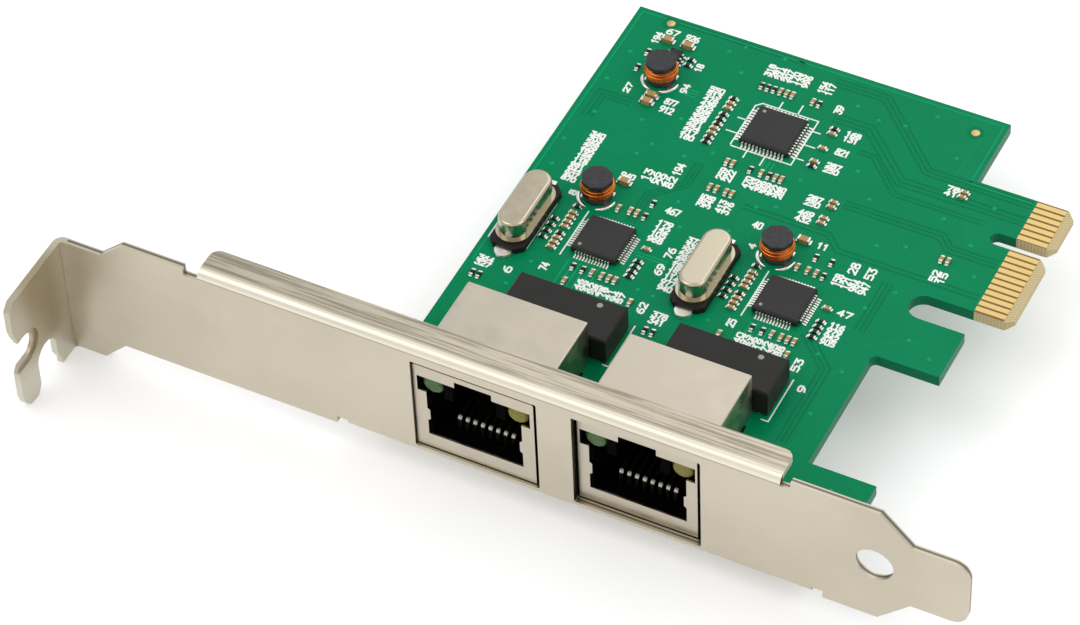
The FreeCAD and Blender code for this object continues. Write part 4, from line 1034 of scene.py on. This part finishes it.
# ---- board


@dataclass(frozen=True)
class Bundle:
    """Parallel tracks: a path through points, a count and a pitch."""

    path: tuple[Pair, ...]
    count: int
    pitch: float = 0.5
    width: float = 0.3
    dark: bool = True

    def lay(self, surface: Surface, low: float, high: float) -> None:
        """Add every track as one flat bar along the path.

        Each track is the path moved sideways; its four edges are the path moved by half
        a width more or less, at the low and the high level. At a corner the move follows
        the two sides' mean normal, lengthened so that both sides keep their distance.

        Args:
            surface: where the tracks go.
            low: underside's Z.
            high: top's Z.
        """
        path = np.array(self.path)
        step = np.diff(path, axis=0)
        step /= np.linalg.norm(step, axis=1, keepdims=True)
        normal = np.stack([-step[:, 1], step[:, 0]], 1)
        mean = np.concatenate([normal[:1], normal[:-1] + normal[1:], normal[-1:]])
        mean /= np.linalg.norm(mean, axis=1, keepdims=True)
        share = np.concatenate([normal[:1], normal])
        mean /= np.maximum(np.sum(mean * share, 1, keepdims=True), 0.3)
        edge = np.array([-1, 1, 1, -1]) * self.width / 2
        level = np.array([low, low, high, high])
        for place in (np.arange(self.count) - (self.count - 1) / 2) * self.pitch:
            flat = path[:, None] + (place + edge)[None, :, None] * mean[:, None]
            z = np.broadcast_to(level[None, :, None], flat.shape[:2] + (1,))
            surface.grid(capped(np.concatenate([flat, z], 2)))


@dataclass
class Board:
    """The green board, its tracks, holes and pads."""

    track: float = 0.008
    bundles: Sequence[Bundle] = (
        Bundle(((72.0, 70.4), (79.0, 70.4), (88.6, 60.8), (102.6, 60.8)), 3, 0.62),
        Bundle(((74.2, 64.6), (79.2, 64.6), (86.2, 57.8), (102.6, 57.8)), 3, 0.7),
        Bundle(((79.5, 60.4), (81.5, 60.4), (86.4, 55.5), (98.0, 55.5)), 2, 0.6),
        Bundle(((81.6, 51.4), (94.6, 51.4), (96.2, 49.8), (102.6, 49.8)), 3, 0.62),
        Bundle(((70.5, 45.9), (82.0, 45.9), (84.0, 43.9), (102.6, 43.9)), 2, 0.7),
        Bundle(((59.0, 37.6), (59.0, 42.8), (62.5, 46.3), (62.5, 50.4)), 3, 0.5),
        Bundle(((46.0, 52.0), (46.0, 56.4), (50.0, 56.4)), 3, 0.6),
        Bundle(((47.0, 71.9), (66.0, 71.9), (67.4, 71.3)), 2, 0.5),
        Bundle(((86.2, 30.0), (90.6, 25.6), (90.6, 13.0)), 3, 0.6),
        Bundle(((91.8, 33.0), (91.8, 41.6)), 3, 0.6),
        Bundle(((70.3, 52.8), (70.3, 54.2)), 3, 0.6, 0.2, False),
        Bundle(((62.0, 33.2), (66.2, 33.2)), 2, 0.5, 0.2, False),
        Bundle(((54.6, 61.0), (57.2, 61.0)), 3, 0.5, 0.2, False),
        Bundle(((57.0, 28.9), (57.0, 22.0)), 6, 0.8, 0.22, False),
        Bundle(((81.5, 28.9), (81.5, 22.2)), 6, 0.8, 0.22, False),
    )
    rim: Bundle = Bundle(
        ((44.25, 24.0), (44.25, 71.9), (94.2, 71.9), (94.2, 61.1), (102.4, 61.1)), 1, 1.0, 0.16)
    sights: Spots = ((48.5, 71.35), (91.4, 69.45))
    sight: float = 0.55
    sight_rise: float = 0.035
    clearing: float = 1.1
    clearing_rise: float = 0.012
    via: float = 0.3
    tent: float = 0.03
    via_spots: Sequence[tuple[float, float]] = (
        (79.6, 66.4), (83.0, 66.9), (76.2, 67.6), (86.0, 70.0), (91.0, 64.3), (80.8, 57.2),
        (84.0, 53.4), (88.0, 46.6), (93.6, 54.2), (98.6, 58.4), (98.4, 51.4), (100.8, 46.8),
        (93.2, 40.4), (90.9, 36.6), (92.6, 26.0), (91.9, 18.4), (75.0, 52.9), (74.2, 47.4),
        (63.2, 52.6), (60.2, 50.6), (55.6, 50.8), (52.6, 54.2), (46.6, 53.0), (45.2, 47.2),
        (45.8, 42.6), (54.6, 48.6), (62.9, 43.2), (64.9, 39.4), (70.6, 41.3), (72.0, 46.4),
        (57.4, 69.8), (60.4, 66.9), (59.0, 71.3), (64.4, 71.4), (46.0, 64.6), (45.4, 59.0),
        (57.0, 56.4), (64.8, 27.8), (66.9, 27.6), (88.9, 27.4), (50.9, 26.6), (74.6, 26.9),
        (49.8, 22.1), (70.9, 20.4), (91.3, 47.9), (97.8, 34.0), (101.2, 32.2), (99.0, 8.6),
    )

    def build(self, frame: dict) -> None:
        """Dress the CAD board, and lay its tracks, vias and fiducials.
        """
        dress(frame, Finish.MASK, "circuit_board")
        dress(frame, Finish.GOLD, "edge_contacts_component_side", "edge_contacts_solder_side")
        dark = [bundle for bundle in self.bundles if bundle.dark]
        light = [bundle for bundle in self.bundles if not bundle.dark] + [self.rim]
        low, high = TOP - SINK, TOP + self.track
        self.tracks("tracks_dark", Finish.TRACE_DARK, dark, low, high)
        self.tracks("tracks_light", Finish.TRACE_LIGHT, light, low, high)
        self.vias()
        self.fiducials()
        self.tracks("tracks_under", Finish.TRACE_LIGHT, dark + light, BOTTOM - self.track,
                    BOTTOM + SINK)

    def tracks(self, name: str, finish: Finish, bundles: Sequence[Bundle], low: float,
               high: float) -> None:
        """Lay bundles of tracks as one piece.

        Args:
            name: the piece's name.
            finish: its finish.
            bundles: the bundles.
            low: undersides' Z.
            high: tops' Z.
        """
        surface = Surface()
        for bundle in bundles:
            bundle.lay(surface, low, high)
        surface.piece(name, finish, "circuit_board", smooth=False)

    def vias(self) -> None:
        """Set small tented vias on both sides."""
        rings = Surface()
        for low in (TOP, BOTTOM - self.tent):
            domes(rings, self.via_spots, self.via, low, low + self.tent, 12)
        rings.piece("board_vias", Finish.TRACE_LIGHT, "circuit_board")

    def fiducials(self) -> None:
        """Set two gold sighting dots, each in a dark ring."""
        dots, rings = Surface(), Surface()
        domes(dots, self.sights, self.sight, TOP, TOP + self.sight_rise, 24)
        domes(rings, self.sights, self.clearing, TOP, TOP + self.clearing_rise, 28,
              self.sight + SINK)
        dots.piece("fiducial_dots", Finish.GOLD, "circuit_board")
        rings.piece("fiducial_rings", Finish.TRACE_DARK, "circuit_board")


# ---- chips


@dataclass
class ChipParts:
    """Small chip parts: a fired body, two plated ends and their solder.

    end is a cap's length, at most end_share of the part's; the body starts tuck of the
    way along it and proud below its top. Solder reaches foot out and lap in, and rises by
    climb of the part's height and base. soft holds the three edge radii.
    """

    end: float = 0.29
    end_share: float = 0.24
    tuck: float = 0.6
    proud: float = 0.02
    foot: float = 0.22
    lap: float = 0.05
    climb: float = 0.3
    base: float = 0.04
    soft: Place = (0.04, 0.05, 0.075)

    def build(self, frame: dict, node: str, finish: Finish) -> None:
        """Replace one node of plain blocks by bodies, ends and solder.

        Args:
            node: the CAD node.
            finish: the bodies' finish.
        """
        bodies, ends, solder = Surface(), Surface(), Surface()
        for a, b in zip(*islands(frame["nodes"][node])):
            axis = int(b[1] - a[1] > b[0] - a[0])
            cap = min(self.end, (b[axis] - a[axis]) * self.end_share)
            low, high = a.copy(), b.copy()
            low[axis] += cap * self.tuck
            high[axis] -= cap * self.tuck
            high[2] -= self.proud
            bodies.grid(rounded_box(low, high, self.soft[0], 1))
            for sign, edge in ((-1, a[axis]), (1, b[axis])):
                low, high = a.copy(), b.copy()
                low[axis], high[axis] = sorted((edge, edge - sign * cap))
                ends.grid(rounded_box(low, high, self.soft[1], 2))
                low[axis], high[axis] = sorted((edge + sign * self.foot, edge - sign * self.lap))
                high[2] = TOP + self.climb * (b[2] - a[2]) + self.base
                solder.grid(rounded_box(low, high, self.soft[2], 2))
        bodies.piece(node + "_detail", finish, node, node)
        ends.piece(node + "_ends", Finish.TIN, node)
        solder.piece(node + "_solder", Finish.SOLDER, node)


# ---- packages


@dataclass
class QuadPackage(Part):
    """A square flat package: body, leads on four sides and their solder pads.

    The pads run from inside to outside the leads' span, and mark is the first-pin dot's
    corner as signs along X and Y.
    """

    span: float
    body: float
    pitch: float
    mark: Pair
    count: int = 12
    inside: float = 0.25
    outside: float = 0.12
    pad_share: float = 0.55
    pad_rise: float = 0.03
    mark_in: float = 0.85

    def build(self) -> None:
        """Dress the CAD body and leads, and lay a pad under each lead.

        The pads of one side are turned by quarters: their points times a quarter turn's
        matrix, raised to the side's number.
        """
        self.dress(body=Finish.PACKAGE, leads=Finish.TIN)
        low, high = self.box("body")
        centre = (low[:2] + high[:2]) / 2
        step = (np.arange(self.count) - (self.count - 1) / 2) * self.pitch
        reaches = (self.span / 2 - self.inside, self.span / 2 + self.outside)
        side = [np.stack([np.full(self.count, reach), step], 1) for reach in reaches]
        turn = np.array([[0, -1], [1, 0]])
        spins = [np.linalg.matrix_power(turn, quarter) for quarter in range(4)]
        starts, ends = (np.concatenate([edge @ spin.T + centre for spin in spins]) for edge in side)
        pads = Surface()
        prisms(pads, starts, ends, self.pitch * self.pad_share, TOP, TOP + self.pad_rise)
        self.piece(pads, "pads", Finish.SOLDER, "leads", smooth=False)
        mark = centre + np.array(self.mark) * (self.body / 2 - self.mark_in)
        self.dot(mark, 0.26, (0.079, 0.06), 20)


@dataclass
class Magnetics(Part):
    """A tall moulded module with its leads along both long sides."""

    mark: Pair = (3.2, 1.1)

    def build(self) -> None:
        """Dress the module and print its first-pin dot, in from its far corner."""
        self.dress(body=Finish.MAGNETICS, leads=Finish.TIN)
        self.dot(self.box("body")[1][:2] - self.mark, 0.4, (0.079, 0.05), 24)


@dataclass
class Crystal(Part):
    """A drawn can on a moulded base."""

    margin: Place = (0.35, 0.3, 0.0)
    heap: float = 0.3
    heap_soft: float = 0.14
    moon: float = 1.2
    moon_out: float = 0.3
    moon_rise: float = 0.5

    def build(self) -> None:
        """Dress the can, its base and its leads, and heap solder on the leads."""
        self.dress(can=Finish.CAN, base=Finish.BASE, leads=Finish.TIN)
        solder = Surface()
        for a, b in zip(*islands(self.frame["nodes"][self.node + "_leads"])):
            near, far = a - self.margin, b + self.margin
            far[2] = TOP + self.heap
            solder.grid(rounded_box(near, far, self.heap_soft, 4))
        low, high = self.box("base")
        moon = ((low[0] + high[0]) / 2, low[1] - self.moon_out)
        domes(solder, [moon], self.moon, TOP - SINK, TOP + self.moon_rise, 28)
        self.piece(solder, "solder", Finish.SOLDER, "leads")


@dataclass
class Inductor(Part):
    """A drum core with eight flats, a bulging wire winding and two solder bows.

    The bows lie round the foot at two angles in degrees, each bow_span to either side.
    """

    turns: float = 7.0
    wire: float = 0.14
    layers: int = 2
    nesting: float = 1.6
    cap: float = 2.0
    foot: float = 1.98
    waist: float = 1.0
    cheek: float = 0.62
    rim: float = 0.09
    flat: float = 0.955
    bulge: float = 0.24
    wander: float = 0.05
    wander_rate: float = 0.37
    steps: int = 28
    bow_angles: Pair = (222.0, 322.0)
    bow_span: float = 36.0
    bow_out: float = 0.46
    bow: Pair = (0.3, 0.22)

    def build(self) -> None:
        """Turn the core, dress the terminals, and wind real turns over the waist."""
        self.dress(terminals=Finish.SOLDER)
        low, high = self.box("core")
        centre = (low + high) / 2
        core, winding = Surface(), Surface()
        core.grid(self.drum(centre, low[2], high[2]))
        self.piece(core, "drum", Finish.FERRITE, "core", replaces=True)
        low, high = self.box("winding")
        for layer in range(self.layers):
            reach = (high[0] - low[0]) / 2 - self.wire - layer * self.wire * self.nesting
            winding.grid(self.coil(centre, reach, low[2], high[2], layer))
        self.piece(winding, "turns", Finish.COPPER, "winding", replaces=True)
        self.bows(centre)

    def drum(self, centre: np.ndarray, low: float, high: float) -> np.ndarray:
        """Return the core as a profile carried round its axis.

        The profile rises over the foot, the waist and the cap, with softened rims. The
        cheeks' reach is cut to eight flats: the reach is held to that of an octagon a
        little larger than the circle's own inner one.

        Args:
            centre: the axis.
            low: the foot's underside.
            high: the cap's top.

        Returns:
            An array of rows, columns and three coordinates; its columns wrap.
        """
        rim, foot, cap, waist = self.rim, self.foot, self.cap, self.waist
        floor, roof = low + self.cheek, high - self.cheek
        reach = np.array([0.0, foot - rim, foot, foot, foot - rim, waist, waist, cap - rim, cap,
                          cap, cap - rim, 0.0])
        level = np.array([low, low, low + rim, floor - rim, floor, floor, roof, roof, roof + rim,
                          high - rim, high, high])
        angle, eighth = around(64), np.pi / 4
        squeeze = np.minimum(self.flat / np.cos(angle % eighth - eighth / 2), 1.0)
        cheek = (reach > waist + 0.2)[:, None]
        radius = reach[:, None] * np.where(cheek, squeeze, 1.0)
        return polar(centre, radius, angle, level[:, None])

    def bows(self, centre: np.ndarray) -> None:
        """Lay two bows of solder on the board round the foot.

        Each bow is a half ellipse carried along an arc of a circle round the axis, and
        thins to a point at both ends.

        Args:
            centre: the axis.
        """
        solder = Surface()
        t, ring = np.linspace(-1.0, 1.0, 25)[:, None], around(10)
        swell = np.sqrt(1.0 - t * t)
        radius = self.foot + self.bow_out + self.bow[0] * swell * np.cos(ring)
        z = TOP + np.maximum(self.bow[1] * swell * np.sin(ring), -0.02)
        for middle in self.bow_angles:
            angle = np.radians(middle + t * self.bow_span)
            solder.grid(polar(centre, radius, angle, z)[:, ::-1])
        self.piece(solder, "bows", Finish.SOLDER, "terminals")

    def coil(self, centre: np.ndarray, reach: float, low: float, high: float,
             layer: int) -> np.ndarray:
        """Return one layer of wire.

        The wire's middle follows a helix from low to high, whose reach swells at mid
        height; a small circle stands across it in the plane of the radius and the axis.

        Args:
            centre: the axis.
            reach: from the axis to the wire's middle, before it swells.
            low: the lowest turn's underside.
            high: the highest turn's top.
            layer: the layer's number; odd ones wind the other way.

        Returns:
            An array of rows, columns and three coordinates; its columns wrap.
        """
        t, ring = np.linspace(0.0, 1.0, int(self.turns * self.steps))[:, None], around(8)
        angle = 2 * np.pi * self.turns * t * (-1 if layer else 1)
        rise = low + self.wire + (high - low - 2 * self.wire) * t
        swell = self.bulge * np.sin(np.pi * t) + self.wander * np.sin(angle * self.wander_rate)
        radius = reach + swell + self.wire * np.cos(ring)
        points = polar(centre, radius, angle, rise + self.wire * np.sin(ring))
        return capped(points if layer else points[:, ::-1])


# ---- jacks


@dataclass
class Jack(Part):
    """One sunk modular jack: shield, housing, contact springs and two lamps.

    Rows of pins are given from the shield's front, peg_in and the lamp pins from its
    sides and its middle. pin, tip, drop and tip_drop shape a joint, as shares of its
    radius. Black strips stand in the slits beside the housing's skin as painted shade.
    """

    signals: int = 8
    pin_pitch: float = 1.02
    near_row: float = 13.2
    far_row: float = 14.8
    lamp_pins: Pair = (5.2, 6.9)
    lamp_row: float = 13.6
    pin_joint: float = 0.5
    peg_in: float = 0.22
    peg_row: float = 6.0
    peg_joint: float = 0.95
    pin: float = 0.28
    hollow: float = 2.2
    drop: float = 0.8
    tip: float = 0.2
    tip_drop: float = 1.05
    shade_strip: Pair = (0.88, 0.98)
    shade_strip_reach: Pair = (0.45, 0.6)
    shade_strip_lap: float = 0.15
    skin: float = 0.3

    def build(self) -> None:
        """Dress the jack's nodes, solder its pins, put painted shade in the slits by its shield."""
        self.dress(shield=Finish.SHIELD, housing=Finish.HOUSING, contacts=Finish.SPRING,
                   lamp_green=Finish.LAMP_GREEN, lamp_yellow=Finish.LAMP_YELLOW)
        low, high = self.box("shield")
        self.solder(low, high)
        # Black strips in the slits beside the housing: painted shade where the gaps show only
        # shade.
        y = sum(self.shade_strip) / 2
        inner_low, inner_high = self.box("housing")
        left, right = inner_low[0] - self.skin, inner_high[0] + self.skin
        starts = np.array([(left - self.shade_strip_reach[0], y), (right - self.shade_strip_lap, y)])
        ends = np.array([(left + self.shade_strip_lap, y), (right + self.shade_strip_reach[1], y)])
        shade_strips = Surface()
        prisms(shade_strips, starts, ends, self.shade_strip[1] - self.shade_strip[0], low[2], high[2])
        self.piece(shade_strips, "shade_strips", Finish.HOUSING, "housing", smooth=False)

    def solder(self, low: np.ndarray, high: np.ndarray) -> None:
        """Solder the shield's pegs, the signal pins and the lamps' pins under the board.

        Args:
            low: the shield's lowest corner.
            high: its highest corner.
        """
        middle, front = (low[0] + high[0]) / 2, low[1]
        pegs = [(x, front + self.peg_row) for x in (low[0] + self.peg_in, high[0] - self.peg_in)]
        rows = (self.far_row, self.near_row)
        pins = [(middle + (pin - (self.signals - 1) / 2) * self.pin_pitch, front + rows[pin % 2])
                for pin in range(self.signals)]
        pins += [(middle + sign * reach, front + self.lamp_row)
                 for sign in (-1, 1) for reach in self.lamp_pins]
        heaps = Surface()
        self.joints(heaps, pegs, self.peg_joint)
        self.joints(heaps, pins, self.pin_joint)
        self.piece(heaps, "solder", Finish.SOLDER, "shield")

    def joints(self, surface: Surface, spots: Spots, radius: float) -> None:
        """Hang solder joints and their pin tips under the board.

        A joint's profile leaves the board at the full radius, falls in along a hollow
        curve to the pin and ends in a blunt tip; it is carried round a circle.

        Args:
            surface: where the joints go.
            spots: two coordinates each.
            radius: the joint's radius at the board.
        """
        t = np.linspace(0.0, 1.0, 7)
        curve = self.pin + (1.0 - self.pin) * (1.0 - t) ** self.hollow
        reach = radius * np.concatenate([[0.0], curve, [self.tip, 0.0]])
        drop = np.concatenate([[-SINK], t * radius * self.drop, [radius * self.tip_drop] * 2])
        for spot in spots:
            surface.grid(polar(spot, reach[::-1, None], around(14), BOTTOM - drop[::-1, None]))


# ---- studio


@dataclass
class Studio:
    """Floor, soft lamps, world and camera.

    Each lamp has a place, a width and a power, and is turned to aim. The camera has a
    place and a turn in degrees.
    """

    floor_level: float = -3.32
    floor_reach: float = 3000.0
    floor_tone: float = 0.86
    glow: float = 0.27
    daylight: float = 0.8
    place: Place = (238.608, -314.596, 423.015)
    turn: Place = (42.5446, 1.9144, 26.6105)
    lens: float = 155.584
    sensor: float = 36.0
    clip: Pair = (0.01, 20.0)
    aim: Place = (65.0, 35.0, 5.0)
    lamps: Sequence[tuple[Place, float, float]] = (
        ((-180.0, -120.0, 520.0), 380.0, 0.55),
        ((420.0, 120.0, 460.0), 300.0, 0.4),
        ((60.0, 420.0, 380.0), 320.0, 0.3),
        ((180.0, -520.0, 120.0), 300.0, 0.2),
    )

    def floor(self) -> None:
        """Lay a pale floor that reads white to the eye and keeps the shadow."""
        g = Graph("pale_floor")
        path = g.node("LightPath").outputs
        seen = g.math("MAXIMUM", path["Is Camera Ray"], path["Is Glossy Ray"])
        seen = g.math("MAXIMUM", seen, path["Is Transmission Ray"])
        g.give(Base_Color=(self.floor_tone,) * 3 + (1.0,), Roughness=0.9, Specular_IOR_Level=0.1,
               Emission_Color=(1.0,) * 4, Emission_Strength=g.times(seen, self.glow))
        mesh = bpy.data.meshes.new("floor")
        square = np.array([(-1, -1), (1, -1), (1, 1), (-1, 1)]) * self.floor_reach
        corners = np.column_stack([square, np.full(4, self.floor_level)]) * MM
        mesh.from_pydata(corners.tolist(), [], [(0, 1, 2, 3)])
        mesh.materials.append(g.material)
        stand("floor", mesh)

    def world(self) -> None:
        """Light everything evenly, and show white where nothing stands."""
        world = bpy.data.worlds.new("studio")
        nodes = Nodes(world)
        path = nodes.node("LightPath").outputs
        seen = nodes.node("MapRange", Value=path["Is Camera Ray"], To_Min=self.daylight)
        back = nodes.node("Background", Color=(1.0,) * 4, Strength=seen.outputs["Result"])
        nodes.node("OutputWorld", Surface=back.outputs["Background"])
        bpy.context.scene.world = world

    def light(self) -> None:
        """Hang the soft lamps, each turned to the middle of the card."""
        for index, (place, width, power) in enumerate(self.lamps):
            data = bpy.data.lights.new(f"lamp_{index}", "AREA")
            data.shape = "SQUARE"
            data.size = width * MM
            data.energy = power
            item = stand(f"lamp_{index}", data)
            aim = np.subtract(self.aim, place)
            item.location = np.array(place) * MM
            item.rotation_euler = (math.atan2(math.hypot(aim[0], aim[1]), -aim[2]), 0.0,
                                   math.atan2(aim[1], aim[0]) - math.pi / 2)

    def camera(self) -> None:
        """Stand the camera."""
        data = bpy.data.cameras.new("camera")
        data.sensor_width = self.sensor
        data.sensor_fit = "HORIZONTAL"
        data.lens = self.lens
        data.clip_start, data.clip_end = self.clip
        item = stand("camera", data)
        item.location = np.array(self.place) * MM
        item.rotation_euler = [math.radians(a) for a in self.turn]
        bpy.context.scene.camera = item

    def build(self) -> None:
        """Set the whole stage."""
        bpy.context.scene.view_settings.view_transform = "Standard"
        self.floor()
        self.world()
        self.light()
        self.camera()


def main() -> None:
    """Build every sub-assembly in order."""
    logging.basicConfig(level=logging.INFO, format="%(message)s")
    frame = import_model()
    dress(frame, Finish.SHEET, "bracket")
    dress(frame, Finish.TIN, "spacer_left", "spacer_right", "screw_left", "screw_right")
    Board().build(frame)
    Legend().build()
    chips = ChipParts()
    chips.build(frame, "capacitors_small", Finish.CHIP_TAN)
    chips.build(frame, "capacitors_large", Finish.CHIP_TAN)
    chips.build(frame, "resistors_small", Finish.CHIP_BLACK)
    for node in ("controller_left", "controller_right"):
        QuadPackage(frame, node, 7.3, 6.0, 0.4, (-1, -1)).build()
    QuadPackage(frame, "switch", 7.8, 6.4, 0.5, (-1, 1)).build()
    Part(frame, "regulator").dress(body=Finish.PACKAGE, leads=Finish.TIN)
    for node in ("magnetics_left", "magnetics_right"):
        Magnetics(frame, node).build()
    for node in ("crystal_left", "crystal_right"):
        Crystal(frame, node).build()
    for node in ("inductor_far", "inductor_left", "inductor_right"):
        Inductor(frame, node).build()
    for node in ("jack_left", "jack_right"):
        Jack(frame, node).build()
    Studio().build()


if __name__ == "__main__":
    main()
